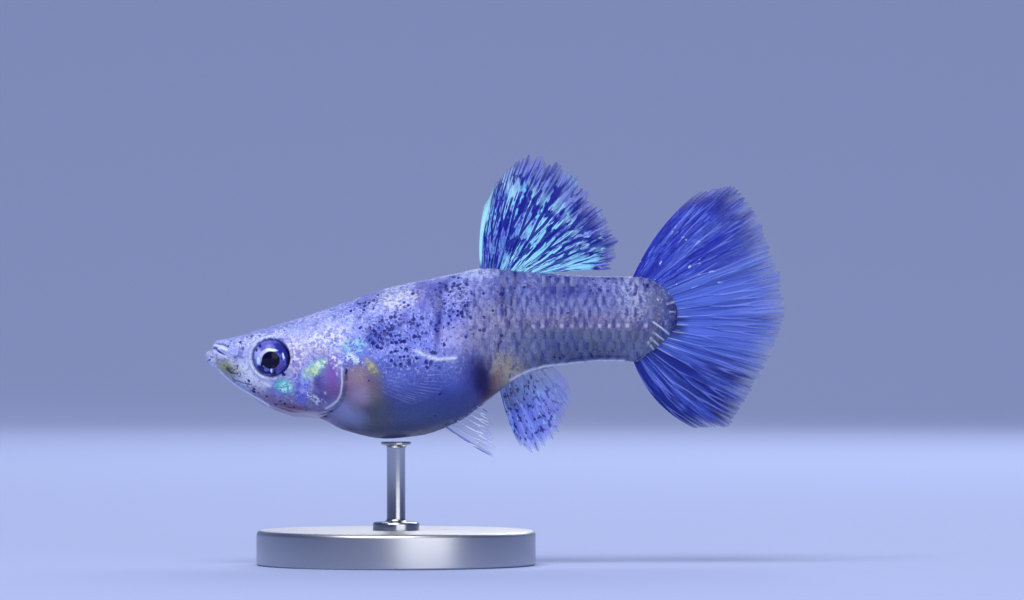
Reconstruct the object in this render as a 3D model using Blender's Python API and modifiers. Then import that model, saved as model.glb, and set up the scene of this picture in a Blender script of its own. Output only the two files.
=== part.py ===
"""A fancy guppy, an adult female, as a still life-size model on a plain display stand.

Metres, +Z up. The fish heads along -X, with its left side to -Y. The origin is on the floor under the
middle of the whole part. Tables of the fish are in millimetres: x runs back from the tip of the lower jaw,
and h is the height above the lateral axis, the line along the middle of the tail stalk.
"""

import math

import bmesh
import bpy
import numpy as np

MM = 0.001
GAP = 0.3 * MM  # between neighbouring pieces

# Driving dimensions
TOTAL_LENGTH = 50.0  # jaw tip to the tips of the tail fin, mm
FLESH_LENGTH = 40.65  # jaw tip to the end of the flesh, mm
AXIS_Z = 21.0  # the lateral axis above the floor, mm
SNOUT_X = -TOTAL_LENGTH / 2

# Body stations: x, back, belly, height of the greatest width, half width
BODY_STATIONS = (
    (0.0, -2.72, -3.30, -3.00, 0.40),
    (0.5, -2.22, -3.78, -3.00, 0.95),
    (1.3, -1.70, -4.48, -3.02, 1.42),
    (3.0, -1.33, -5.62, -3.10, 2.15),
    (5.5, -0.55, -7.50, -3.40, 2.85),
    (8.0, 0.20, -8.31, -3.90, 3.25),
    (9.6, 0.72, -8.38, -4.20, 3.45),
    (12.0, 1.58, -9.42, -4.80, 3.85),
    (15.5, 2.78, -10.13, -5.30, 4.25),
    (18.5, 3.46, -9.85, -4.90, 4.20),
    (21.5, 4.05, -8.80, -3.50, 3.65),
    (24.0, 4.52, -7.12, -1.80, 2.85),
    (27.0, 4.25, -4.85, -0.60, 2.15),
    (30.5, 3.97, -3.85, -0.10, 1.75),
    (34.0, 3.80, -3.46, 0.05, 1.40),
    (37.2, 3.78, -3.50, 0.20, 1.05),
    (40.65, 3.60, -3.50, 0.30, 0.45),
)
# How full a cross-section is: x, above the greatest width, below it. 2 is an ellipse and more is boxier
FULLNESS = (
    (0.0, 2.2, 2.2),
    (5.0, 2.7, 1.9),
    (9.5, 2.4, 1.9),
    (14.0, 2.1, 2.3),
    (22.0, 2.0, 2.2),
    (28.0, 2.0, 1.9),
    (40.65, 2.0, 2.0),
)
FLESH_ROUNDING_X = 37.2  # where the end of the flesh starts to round off under the tail fin
FIRST_RING_X, LAST_RING_X = 0.12, FLESH_LENGTH - 0.08
ENDS_CLOSER = 0.55  # how much closer together the rings lie at both ends, from 0, even, to 1
BODY_RINGS = 46
BODY_SIDES = 36

# Where the body is parted: (h, x) down the side
GILL_SLIT = (
    (-11.0, 8.4),
    (-8.5, 10.0),
    (-7.2, 11.4),
    (-5.5, 12.15),
    (-3.5, 12.3),
    (-1.0, 11.75),
    (1.0, 10.9),
    (4.0, 9.9),
)
STALK_CUT = ((-6.0, 29.0), (0.0, 29.9), (6.0, 29.2))
BEYOND_SNOUT, BEYOND_TAIL = -3.0, 45.0
LOWEST_H, HIGHEST_H = -13.0, 7.0
BEYOND_SIDE = 9.0
CUT_STEPS = 24

# Mouth: the line where the jaws meet, from in front of the tip to its corner, then the back of the jaw
MOUTH_LINE = ((-1.0, -2.66), (0.6, -2.70), (1.4, -2.92), (2.1, -3.27), (2.75, -4.3), (3.3, -6.4))
UPPER_LIP = ((0.56, -2.10), (0.90, -2.22), (1.45, -2.42), (2.15, -2.86))
LOWER_LIP = ((0.12, -2.98), (0.55, -3.02), (1.25, -3.20), (1.95, -3.60))
LIP_RADIUS = 0.27
LIP_CORNER_SHARE = 0.35  # of the lip's radius is left at the corners of the mouth

# Eye and nostrils
EYE_X, EYE_H = 5.73, -3.27
EYE_RADIUS = 1.64
EYE_DEPTH = 1.35  # half of the eyeball's thickness
EYE_BULGE = 0.5  # how far it stands proud of the cheek
ORBIT_RIM_RADIUS, ORBIT_RIM_OUT, ORBIT_RIM_SUNK = 0.2, 0.45, 0.05  # its centre is out from the eye's edge
NOSTRILS = ((3.25, -2.35, 0.27), (3.95, -1.35, 0.22))  # x, h, radius
NOSTRIL_DEPTH = 0.35

# Gill cover: an oval plate that reaches back to the gill slit
COVER_X, COVER_H = 10.2, -4.9
COVER_HALF_LENGTH, COVER_HALF_HEIGHT = 2.1, 2.75
COVER_DEPTH = 1.4  # plate thickness

# Fins. Each ray: x and h of its root, x and h of its tip, and how far it bows to the left of that line
DORSAL_RAYS = (
    (23.70, 3.7, 24.05, 10.25, 0.30),
    (24.20, 3.7, 25.60, 12.80, 0.30),
    (24.75, 3.7, 28.00, 14.50, 0.25),
    (25.35, 3.7, 30.70, 13.55, 0.15),
    (25.95, 3.6, 33.00, 11.45, 0.05),
    (26.45, 3.6, 34.55, 9.05, 0.0),
    (26.95, 3.6, 35.60, 6.70, 0.0),
    (27.50, 3.8, 35.15, 4.35, 0.20),
)
ANAL_RAYS = (
    (25.20, -5.2, 27.10, -10.90, -0.25),
    (25.90, -4.8, 28.25, -11.45, -0.2),
    (26.60, -4.4, 29.45, -11.05, -0.1),
    (27.30, -4.1, 30.35, -9.80, 0.0),
    (27.95, -3.8, 31.10, -8.35, 0.0),
    (28.55, -3.6, 31.60, -6.95, 0.1),
    (29.15, -3.4, 31.45, -5.55, 0.1),
)
PECTORAL_RAYS = (
    (14.60, -3.45, 18.00, -2.30, 0.15),
    (14.60, -3.80, 20.20, -2.55, 0.15),
    (14.60, -4.15, 21.60, -3.25, 0.1),
    (14.60, -4.50, 21.80, -4.40, 0.0),
    (14.60, -4.85, 21.00, -5.70, -0.1),
    (14.60, -5.20, 19.60, -6.70, -0.15),
    (14.60, -5.55, 17.90, -7.15, -0.15),
)
PELVIC_RAYS = (
    (20.05, -8.75, 25.15, -11.90, -0.15),
    (20.80, -8.35, 25.25, -10.85, -0.1),
    (21.60, -7.9, 25.05, -9.85, 0.0),
    (22.20, -7.5, 24.80, -8.80, 0.0),
    (22.80, -7.0, 24.45, -7.90, 0.0),
)
# Tail fin: its rays spread from an oval in the flesh to a margin of angles and distances from a centre
TAIL_CENTRE_X, TAIL_CENTRE_H = 38.67, 0.69
TAIL_MARGIN = (
    (-70.5, 10.6),
    (-60.0, 11.7),
    (-43.0, 11.1),
    (-25.0, 10.65),
    (0.0, 11.3),
    (20.0, 11.45),
    (43.0, 12.2),
    (53.0, 13.2),
    (60.0, 12.95),
    (65.0, 12.15),
    (69.5, 11.2),
)
TAIL_ROOT_X, TAIL_ROOT_H = 36.8, 0.3
TAIL_ROOT_HALF_LENGTH, TAIL_ROOT_HALF_HEIGHT = 2.7, 3.0
TAIL_ROOT_SPAN = 95.0  # degrees each way round that oval
TAIL_RAYS = 13
TAIL_BOW_LOWER, TAIL_BOW_UPPER = 1.0, 0.7  # outward bow of the outermost ray below and above, mm
# How far the tips swing to the right side, mm
DORSAL_SWAY, ANAL_SWAY, TAIL_SWAY = 0.5, 0.3, 1.3
# The paired fins, mm from the middle plane: their roots, how far they spread by the tips, and the curl back
PECTORAL_ROOT_Y, PECTORAL_SPREAD, PECTORAL_CURL = 3.59, 3.9, 0.9
PELVIC_ROOT_Y, PELVIC_SPREAD = 0.7, 1.4

MEMBRANE = 0.5  # thickness between the rays, mm
RAY_THICKNESS = 0.9  # through a ray at its root, mm
TIP_THICKNESS = 0.3  # at the margin, mm
RAY_TAPER = 0.75  # share of a ray's height above the membrane that is gone at its tip
COLUMNS_PER_RAY = 4
DORSAL_ROWS, ANAL_ROWS, TAIL_ROWS, PECTORAL_ROWS, PELVIC_ROWS = 9, 7, 11, 7, 6  # of the sheet, root to tip
FORK, FORK_LENGTH = 0.45, 0.25  # where a ray divides in two, and over what stretch, as shares of its length
SCALLOP = 0.055  # how far the margin falls back between the tips, as a share of length

# Stand
STAND_X = 16.4  # under the lowest point of the belly, mm from the jaw tip
BASE_RADIUS, BASE_THICKNESS, BASE_EDGE = 12.0, 3.0, 0.4
ROD_RADIUS, ROD_FOOT_RADIUS, ROD_FOOT_HEIGHT, ROD_PAD_RADIUS, ROD_PAD_HEIGHT = 0.8, 2.0, 0.7, 1.3, 0.6
TURNING_STEPS = 32


def through(knots, values):
    """A smooth line through the stations that never swings past one (a monotone cubic)."""
    k, v = np.asarray(knots, float), np.asarray(values, float)
    width = np.diff(k)
    rise = np.diff(v) / width
    slope = np.concatenate([rise[:1], np.zeros(len(k) - 2), rise[-1:]])
    for i in range(1, len(k) - 1):
        if rise[i - 1] * rise[i] > 0:
            before, after = 2 * width[i] + width[i - 1], width[i] + 2 * width[i - 1]
            slope[i] = (before + after) / (before / rise[i - 1] + after / rise[i])

    def at(x):
        x = min(max(x, k[0]), k[-1])
        i = int(np.clip(np.searchsorted(k, x) - 1, 0, len(width) - 1))
        t = (x - k[i]) / width[i]
        return float(
            v[i] * (1 + 2 * t) * (1 - t) ** 2
            + slope[i] * width[i] * t * (1 - t) ** 2
            + v[i + 1] * t * t * (3 - 2 * t)
            - slope[i + 1] * width[i] * t * t * (1 - t)
        )

    return at


def columns_of(table):
    """One smooth line for each column of a table, against its first column."""
    knots, *rest = zip(*table)
    return [through(knots, values) for values in rest]


back_line, belly_line, widest_line, half_width_line = columns_of(BODY_STATIONS)
full_above, full_below = columns_of(FULLNESS)


def section(x):
    """Back, belly, height of the greatest width and half width at x. The end of the flesh is rounded off."""
    back, belly, widest, half = (line(x) for line in (back_line, belly_line, widest_line, half_width_line))
    past = (x - FLESH_ROUNDING_X) / (FLESH_LENGTH - FLESH_ROUNDING_X)
    if past > 0:
        back = widest + (back - widest) * math.sqrt(max(1 - past * past, 0))
        belly = widest + (belly - widest) * max(1 - past, 0) ** 0.6
    return back, belly, widest, half


def flank(x, h):
    """Half width of the body at x and height h."""
    back, belly, widest, half = section(x)
    edge, full = (back, full_above(x)) if h > widest else (belly, full_below(x))
    share = min(abs((h - widest) / (edge - widest)), 1.0)
    return half * (1 - share**full) ** (1 / full)


def world(x, y, h):
    """A point of the fish's tables, in metres in the part's frame."""
    return ((SNOUT_X + x) * MM, y * MM, (AXIS_Z + h) * MM)


def finish(name, colour, roughness, metallic=0.0):
    """A material with one Principled BSDF."""
    material = bpy.data.materials.new(name)
    material.use_nodes = True
    shader = material.node_tree.nodes["Principled BSDF"]
    shader.inputs["Base Color"].default_value = (*colour, 1.0)
    shader.inputs["Roughness"].default_value = roughness
    shader.inputs["Metallic"].default_value = metallic
    material.diffuse_color = (*colour, 1.0)
    return material


def object_from(name, bm, collection, material=None):
    """A mesh object made from a bmesh, with its normals outward."""
    bm.normal_update()
    bmesh.ops.recalc_face_normals(bm, faces=bm.faces)
    mesh = bpy.data.meshes.new(name)
    bm.to_mesh(mesh)
    bm.free()
    obj = bpy.data.objects.new(name, mesh)
    collection.objects.link(obj)
    if material:
        mesh.materials.append(material)
    return obj


def bake_shape(obj):
    """Replaces an object's mesh by the evaluated one, and clears its modifiers."""
    bpy.context.view_layer.update()
    evaluated = obj.evaluated_get(bpy.context.evaluated_depsgraph_get())
    mesh = bpy.data.meshes.new_from_object(evaluated)
    obj.modifiers.clear()
    obj.data = mesh


def mesh_of_curve(curve_object, collection):
    """A curve made a mesh, with its caps welded."""
    bpy.context.view_layer.update()
    evaluated = curve_object.evaluated_get(bpy.context.evaluated_depsgraph_get())
    mesh = bpy.data.meshes.new_from_object(evaluated)
    bm = bmesh.new()
    bm.from_mesh(mesh)
    bmesh.ops.remove_doubles(bm, verts=bm.verts, dist=1e-6)
    obj = object_from(curve_object.name + "_mesh", bm, collection)
    obj.matrix_world = curve_object.matrix_world
    bpy.data.objects.remove(curve_object)
    return obj


def keep_largest(obj):
    """Drops every closed surface of a mesh but the one with the most volume."""
    bm = bmesh.new()
    bm.from_mesh(obj.data)
    unseen, best = set(bm.faces), (0.0, [])
    pieces = []
    while unseen:
        piece, edge = [], [unseen.pop()]
        while edge:
            face = edge.pop()
            piece.append(face)
            near = {other for e in face.edges for other in e.link_faces} & unseen
            unseen -= near
            edge.extend(near)
        volume = 0.0
        for face in piece:
            first, *others = (vert.co for vert in face.verts)
            for second, third in zip(others, others[1:]):
                volume += first.dot(second.cross(third)) / 6
        pieces.append(piece)
        best = max(best, (abs(volume), piece), key=lambda found: found[0])
    for piece in pieces:
        if piece is not best[1]:
            bmesh.ops.delete(bm, geom=piece, context="FACES")
    bm.to_mesh(obj.data)
    bm.free()


def boolean(obj, other, operation):
    """Applies one Boolean with an object or, for a union, with a whole collection."""
    modifier = obj.modifiers.new(operation.lower(), "BOOLEAN")
    modifier.operation = operation
    modifier.solver = "EXACT"
    if isinstance(other, bpy.types.Collection):
        modifier.operand_type = "COLLECTION"
        modifier.collection = other
    else:
        modifier.object = other
    bake_shape(obj)


def body_loft(name, collection, material=None, grown=0.0):
    """The whole body, from the jaw tip to the end of the flesh. grown moves its skin outward, in metres."""
    ends_eased = 0.5 - 0.5 * np.cos(np.linspace(0, math.pi, BODY_RINGS))
    # Rings lie closer together at both ends, where the outline turns fastest.
    shares = (1 - ENDS_CLOSER) * np.linspace(0, 1, BODY_RINGS) + ENDS_CLOSER * ends_eased
    stations = FIRST_RING_X + (LAST_RING_X - FIRST_RING_X) * shares
    bm = bmesh.new()
    rings = []
    for x in stations:
        back, belly, widest, half = section(float(x))
        ring = []
        for i in range(BODY_SIDES):
            turn = 2 * math.pi * i / BODY_SIDES
            c, s = math.cos(turn), math.sin(turn)
            edge, full = (back, full_above(x)) if s > 0 else (belly, full_below(x))
            y = half * math.copysign(abs(c) ** (2 / full), c)
            h = widest + (edge - widest) * abs(s) ** (2 / full)
            ring.append(bm.verts.new(world(x, y, h)))
        rings.append(ring)
    for near, far in zip(rings, rings[1:]):
        for i in range(BODY_SIDES):
            j = (i + 1) % BODY_SIDES
            bm.faces.new((near[i], near[j], far[j], far[i]))
    bm.faces.new(rings[0])
    bm.faces.new(rings[-1])
    bmesh.ops.recalc_face_normals(bm, faces=bm.faces)
    bm.normal_update()
    for vert in bm.verts:
        vert.co += vert.normal * grown
    return object_from(name, bm, collection, material)


def prism(name, outline, y_low, y_high, collection):
    """A flat outline of (x, h) points, in the fish's tables, carried across from y_low to y_high."""
    curve = bpy.data.curves.new(name, "CURVE")
    curve.dimensions = "2D"
    curve.fill_mode = "BOTH"
    curve.extrude = (y_high - y_low) / 2 * MM
    spline = curve.splines.new("POLY")
    spline.points.add(len(outline) - 1)
    for point, (x, h) in zip(spline.points, outline):
        point.co = (x * MM, h * MM, 0, 1)
    spline.use_cyclic_u = True
    obj = bpy.data.objects.new(name, curve)
    obj.rotation_euler = (math.pi / 2, 0, 0)
    obj.location = world(0, (y_low + y_high) / 2, 0)
    collection.objects.link(obj)
    return mesh_of_curve(obj, collection)


def cut_points(cut, shift):
    """Points (x, h) up a parting line, moved along x by shift."""
    line = through(*zip(*cut))
    return [(line(h) + shift, h) for h in np.linspace(LOWEST_H, HIGHEST_H, CUT_STEPS)]


def region(name, front_cut, rear_cut, collection):
    """The space between two parting lines, less half a gap at each. None stands for the end of the fish."""
    half_gap = GAP / MM / 2
    front = [(BEYOND_SNOUT, LOWEST_H), (BEYOND_SNOUT, HIGHEST_H)]
    if front_cut:
        front = cut_points(front_cut, half_gap)
    rear = [(BEYOND_TAIL, LOWEST_H), (BEYOND_TAIL, HIGHEST_H)]
    if rear_cut:
        rear = cut_points(rear_cut, -half_gap)
    return prism(name, rear + front[::-1], -BEYOND_SIDE, BEYOND_SIDE, collection)


def oval(centre_x, centre_h, half_length, half_height, steps=28):
    """Points (x, h) round an oval."""
    turns = np.linspace(0, 2 * math.pi, steps, endpoint=False)
    return [(centre_x + half_length * math.cos(t), centre_h + half_height * math.sin(t)) for t in turns]


def ellipsoid(name, centre, radii, collection, material=None, meridians=22):
    """An eyeball, its socket or a pit, poles to the left and right."""
    bm = bmesh.new()
    bmesh.ops.create_uvsphere(bm, u_segments=meridians, v_segments=meridians // 2 + 1, radius=1.0)
    for vert in bm.verts:
        x, y, z = vert.co
        vert.co = world(centre[0] + radii[0] * x, centre[1] + radii[1] * z, centre[2] + radii[2] * y)
    return object_from(name, bm, collection, material)


def tube(name, points, radii, collection, closed=False):
    """A round tube through points in the fish's tables, with a radius at each."""
    curve = bpy.data.curves.new(name, "CURVE")
    curve.dimensions = "3D"
    curve.bevel_depth = MM
    curve.bevel_resolution = 1
    curve.use_fill_caps = True
    spline = curve.splines.new("POLY")
    spline.points.add(len(points) - 1)
    for point, place, radius in zip(spline.points, points, radii):
        point.co = (*world(*place), 1)
        point.radius = radius
    spline.use_cyclic_u = closed
    obj = bpy.data.objects.new(name, curve)
    collection.objects.link(obj)
    return mesh_of_curve(obj, collection)


def lip(name, line, collection):
    """A lip: a tube round the front of the mouth, thinner at its corners, lying on the skin."""
    line_x, line_h = (through(range(len(line)), values) for values in zip(*line))
    points, radii = [], []
    for t in np.linspace(-1, 1, 15):
        along = abs(t) * (len(line) - 1)
        x, h = line_x(along), line_h(along)
        points.append((x, math.copysign(flank(x, h), t) * 0.97, h))
        radii.append(LIP_RADIUS * (1 - (1 - LIP_CORNER_SHARE) * abs(t)))
    return tube(name, points, radii, collection)


def orbit_rim(name, side, collection):
    """The raised rim round an eye socket."""
    reach = EYE_RADIUS + ORBIT_RIM_OUT
    points = [
        (x, side * (flank(x, h) - ORBIT_RIM_SUNK), h) for x, h in oval(EYE_X, EYE_H, reach, reach, steps=20)
    ]
    return tube(name, points, [ORBIT_RIM_RADIUS] * len(points), collection, closed=True)


def copy_of(body, name, collection, material):
    """A copy of the whole body, to be cut down to one piece."""
    piece = body.copy()
    piece.data = body.data.copy()
    piece.name = name
    collection.objects.link(piece)
    piece.data.materials.append(material)
    return piece


def add_raised(piece, shapes):
    """Joins a collection of raised shapes, such as lips, to a piece and clears the collection away."""
    boolean(piece, shapes, "UNION")
    for shape in list(shapes.objects):
        bpy.data.objects.remove(shape)
    bpy.data.collections.remove(shapes)


def new_collection(name):
    """An empty collection in the scene."""
    collection = bpy.data.collections.new(name)
    bpy.context.scene.collection.children.link(collection)
    return collection


def make_head(body, collection, cutters, material):
    """The head, with its upper lip and orbits, less the mouth, sockets, nostrils and gill covers."""
    head = copy_of(body, "head", collection, material)
    boolean(head, region("head_region", None, GILL_SLIT, cutters), "INTERSECT")
    gap = GAP / MM
    beyond = [(BEYOND_SNOUT, MOUTH_LINE[-1][1] - 1), (BEYOND_SNOUT, MOUTH_LINE[0][1] + gap)]
    raised_line = [(x + gap, h + gap) for x, h in MOUTH_LINE]
    low_back = [(MOUTH_LINE[-1][0] + gap, MOUTH_LINE[-1][1] - 1)]
    mouth_outline = raised_line + low_back + beyond
    boolean(head, prism("mouth_space", mouth_outline, -BEYOND_SIDE, BEYOND_SIDE, cutters), "DIFFERENCE")
    raised = new_collection("head_raised")
    lip("upper_lip", UPPER_LIP, raised)
    for side in (-1, 1):
        orbit_rim(f"orbit_{side}", side, raised)
    add_raised(head, raised)
    for side in (-1, 1):
        eye_y = side * (flank(EYE_X, EYE_H) + EYE_BULGE - EYE_DEPTH)
        radii = (EYE_RADIUS + gap, EYE_DEPTH + gap, EYE_RADIUS + gap)
        boolean(head, ellipsoid("socket", (EYE_X, eye_y, EYE_H), radii, cutters), "DIFFERENCE")
        for x, h, radius in NOSTRILS:
            radii = (radius, NOSTRIL_DEPTH, radius * 0.8)
            pit = ellipsoid("nostril", (x, side * flank(x, h), h), radii, cutters, meridians=10)
            boolean(head, pit, "DIFFERENCE")
        inner = side * (flank(COVER_X, COVER_H) - COVER_DEPTH - gap)
        low, high = sorted((inner, side * BEYOND_SIDE))
        outline = oval(COVER_X, COVER_H, COVER_HALF_LENGTH + gap, COVER_HALF_HEIGHT + gap)
        boolean(head, prism("cover_recess", outline, low, high, cutters), "DIFFERENCE")
    keep_largest(head)


def make_gill_cover(side, name, body, collection, cutters, material):
    """The oval gill plate of one side, its outer face the true surface of the head."""
    cover = copy_of(body, name, collection, material)
    boolean(cover, region("cover_front", None, GILL_SLIT, cutters), "INTERSECT")
    low, high = sorted((side * (flank(COVER_X, COVER_H) - COVER_DEPTH), side * BEYOND_SIDE))
    outline = oval(COVER_X, COVER_H, COVER_HALF_LENGTH, COVER_HALF_HEIGHT)
    boolean(cover, prism("cover_outline", outline, low, high, cutters), "INTERSECT")
    keep_largest(cover)


def make_lower_jaw(body, collection, cutters, material):
    """The lower jaw with its lip."""
    jaw = copy_of(body, "lower_jaw", collection, material)
    below = [(MOUTH_LINE[-1][0], MOUTH_LINE[-1][1] - 1), (BEYOND_SNOUT, MOUTH_LINE[-1][1] - 1)]
    front = [(BEYOND_SNOUT, MOUTH_LINE[0][1])]
    outline = list(MOUTH_LINE) + below + front
    boolean(jaw, prism("jaw_region", outline, -BEYOND_SIDE, BEYOND_SIDE, cutters), "INTERSECT")
    raised = new_collection("jaw_raised")
    lip("lower_lip", LOWER_LIP, raised)
    add_raised(jaw, raised)
    # The lip's tube reaches over the mouth line and back past the hinge, so both are trimmed once more.
    boolean(jaw, prism("jaw_trim", outline, -BEYOND_SIDE, BEYOND_SIDE, cutters), "INTERSECT")
    keep_largest(jaw)


def make_length(name, front_cut, rear_cut, body, collection, cutters, material):
    """The trunk or the tail stalk: the body between two parting lines."""
    piece = copy_of(body, name, collection, material)
    boolean(piece, region(name + "_region", front_cut, rear_cut, cutters), "INTERSECT")
    keep_largest(piece)


def fin_lines(rays):
    """Smooth lines across a fin for root x and h, tip x and h, and bow, each against a share from 0 to 1."""
    shares = np.linspace(0, 1, len(rays))
    return [through(shares, values) for values in zip(*rays)]


def tail_rays():
    """The tail fin's rays, spread evenly from its lower edge to its upper one."""
    margin = through(*zip(*TAIL_MARGIN))
    lowest, highest = TAIL_MARGIN[0][0], TAIL_MARGIN[-1][0]
    rays = []
    for share in np.linspace(0, 1, TAIL_RAYS):
        root_turn = math.radians((2 * share - 1) * TAIL_ROOT_SPAN)
        tip_angle = lowest + (highest - lowest) * share
        reach = margin(tip_angle)
        bow = TAIL_BOW_UPPER if share > 0.5 else TAIL_BOW_LOWER
        rays.append(
            (
                TAIL_ROOT_X + TAIL_ROOT_HALF_LENGTH * math.cos(root_turn),
                TAIL_ROOT_H + TAIL_ROOT_HALF_HEIGHT * math.sin(root_turn),
                TAIL_CENTRE_X + reach * math.cos(math.radians(tip_angle)),
                TAIL_CENTRE_H + reach * math.sin(math.radians(tip_angle)),
                bow * (2 * share - 1) ** 3,
            )
        )
    return rays


def ray_relief(column, columns, per_ray, out):
    """How far a column of a fin stands up as a ray, and how far out it reaches at the margin, both 0 to 1.
    Past FORK the crest passes from a ray's own column to the one on each side of it, as the ray divides."""
    step = column % per_ray
    on_ray = step == 0
    between = step == per_ray // 2
    forked = min(max((out - FORK) / FORK_LENGTH + 0.5, 0.0), 1.0)
    if on_ray:
        at_edge = column in (0, columns)
        crest = 1.0 if at_edge else 1 - 0.85 * forked
        return crest, crest
    if between:
        return 0.0, 0.0
    return forked, forked


def make_fin(name, rays, sideways, rows, grown_body, collection, material, forked=True):
    """A fin: a sheet across its rays, thicker along each ray than between them, its root cut to the skin.
    sideways(across, out) is the sheet's y at a share across the fin and a share out from the root."""
    root_x, root_h, tip_x, tip_h, bow = fin_lines(rays)
    per_ray = COLUMNS_PER_RAY if forked else 2
    columns = per_ray * (len(rays) - 1)
    bm = bmesh.new()
    bmesh.ops.create_grid(bm, x_segments=columns, y_segments=rows, size=0.5)
    places = [(round((v.co.x + 0.5) * columns), v.co.y + 0.5) for v in bm.verts]
    weights = []
    for vert, (column, out) in zip(bm.verts, places):
        across = column / columns
        crest, tooth = ray_relief(column, columns, per_ray, out if forked else 0.0)
        reach = out * (1 - (1 - tooth) * SCALLOP * out)
        x0, h0, x1, h1 = root_x(across), root_h(across), tip_x(across), tip_h(across)
        length = math.hypot(x1 - x0, h1 - h0)
        bulge = bow(across) * 4 * reach * (1 - reach)
        x = x0 + (x1 - x0) * reach - (h1 - h0) / length * bulge
        h = h0 + (h1 - h0) * reach + (x1 - x0) / length * bulge
        vert.co = world(x, sideways(across, reach), h)
        membrane = MEMBRANE + (TIP_THICKNESS - MEMBRANE) * out**6
        ridge = (RAY_THICKNESS - MEMBRANE) * crest * (1 - RAY_TAPER * out)
        weights.append((membrane + ridge) / RAY_THICKNESS)
    bmesh.ops.triangulate(bm, faces=bm.faces)
    fin = object_from(name, bm, collection, material)
    group = fin.vertex_groups.new(name="thickness")
    for index, weight in enumerate(weights):
        group.add([index], min(weight, 1.0), "REPLACE")
    solidify = fin.modifiers.new("thickness", "SOLIDIFY")
    solidify.thickness = RAY_THICKNESS * MM
    solidify.offset = 0.0
    solidify.vertex_group = group.name
    bake_shape(fin)
    boolean(fin, grown_body, "DIFFERENCE")
    keep_largest(fin)


def make_eye(side, name, collection, material):
    """One eyeball, standing a little proud of the cheek."""
    eye_y = side * (flank(EYE_X, EYE_H) + EYE_BULGE - EYE_DEPTH)
    ellipsoid(name, (EYE_X, eye_y, EYE_H), (EYE_RADIUS, EYE_DEPTH, EYE_RADIUS), collection, material)


def turned(name, profile, x, collection, material):
    """A turned piece on the stand's axis, its profile of (radius, height) run from top to bottom in mm."""
    bm = bmesh.new()
    verts = [bm.verts.new((radius * MM, 0, height * MM)) for radius, height in profile]
    for near, far in zip(verts, verts[1:]):
        bm.edges.new((near, far))
    mesh = bpy.data.meshes.new(name)
    bm.to_mesh(mesh)
    bm.free()
    mesh.materials.append(material)
    obj = bpy.data.objects.new(name, mesh)
    obj.location = ((SNOUT_X + x) * MM, 0, 0)
    collection.objects.link(obj)
    screw = obj.modifiers.new("turning", "SCREW")
    screw.steps = screw.render_steps = TURNING_STEPS
    screw.use_merge_vertices = True
    screw.merge_threshold = 1e-6
    return obj


def make_stand(collection, base_finish, rod_finish):
    """A round base and one short rod that meets the lowest point of the belly."""
    edge, top = BASE_EDGE, BASE_THICKNESS
    outer = [
        (BASE_RADIUS - edge * (1 - math.sin(t)), top - edge * (1 - math.cos(t)))
        for t in np.linspace(0, math.pi / 2, 4)
    ]
    turned("stand_base", [(0, top), *outer, (BASE_RADIUS, 0), (0, 0)], STAND_X, collection, base_finish)
    gap = GAP / MM
    rod_top = AXIS_Z + section(STAND_X)[1] - gap
    rod_foot = BASE_THICKNESS + gap
    profile = (
        (0, rod_top),
        (ROD_PAD_RADIUS, rod_top),
        (ROD_PAD_RADIUS, rod_top - ROD_PAD_HEIGHT * 0.4),
        (ROD_RADIUS, rod_top - ROD_PAD_HEIGHT),
        (ROD_RADIUS, rod_foot + ROD_FOOT_HEIGHT),
        (ROD_FOOT_RADIUS, rod_foot + ROD_FOOT_HEIGHT * 0.6),
        (ROD_FOOT_RADIUS, rod_foot),
        (0, rod_foot),
    )
    turned("stand_rod", profile, STAND_X, collection, rod_finish)


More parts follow.
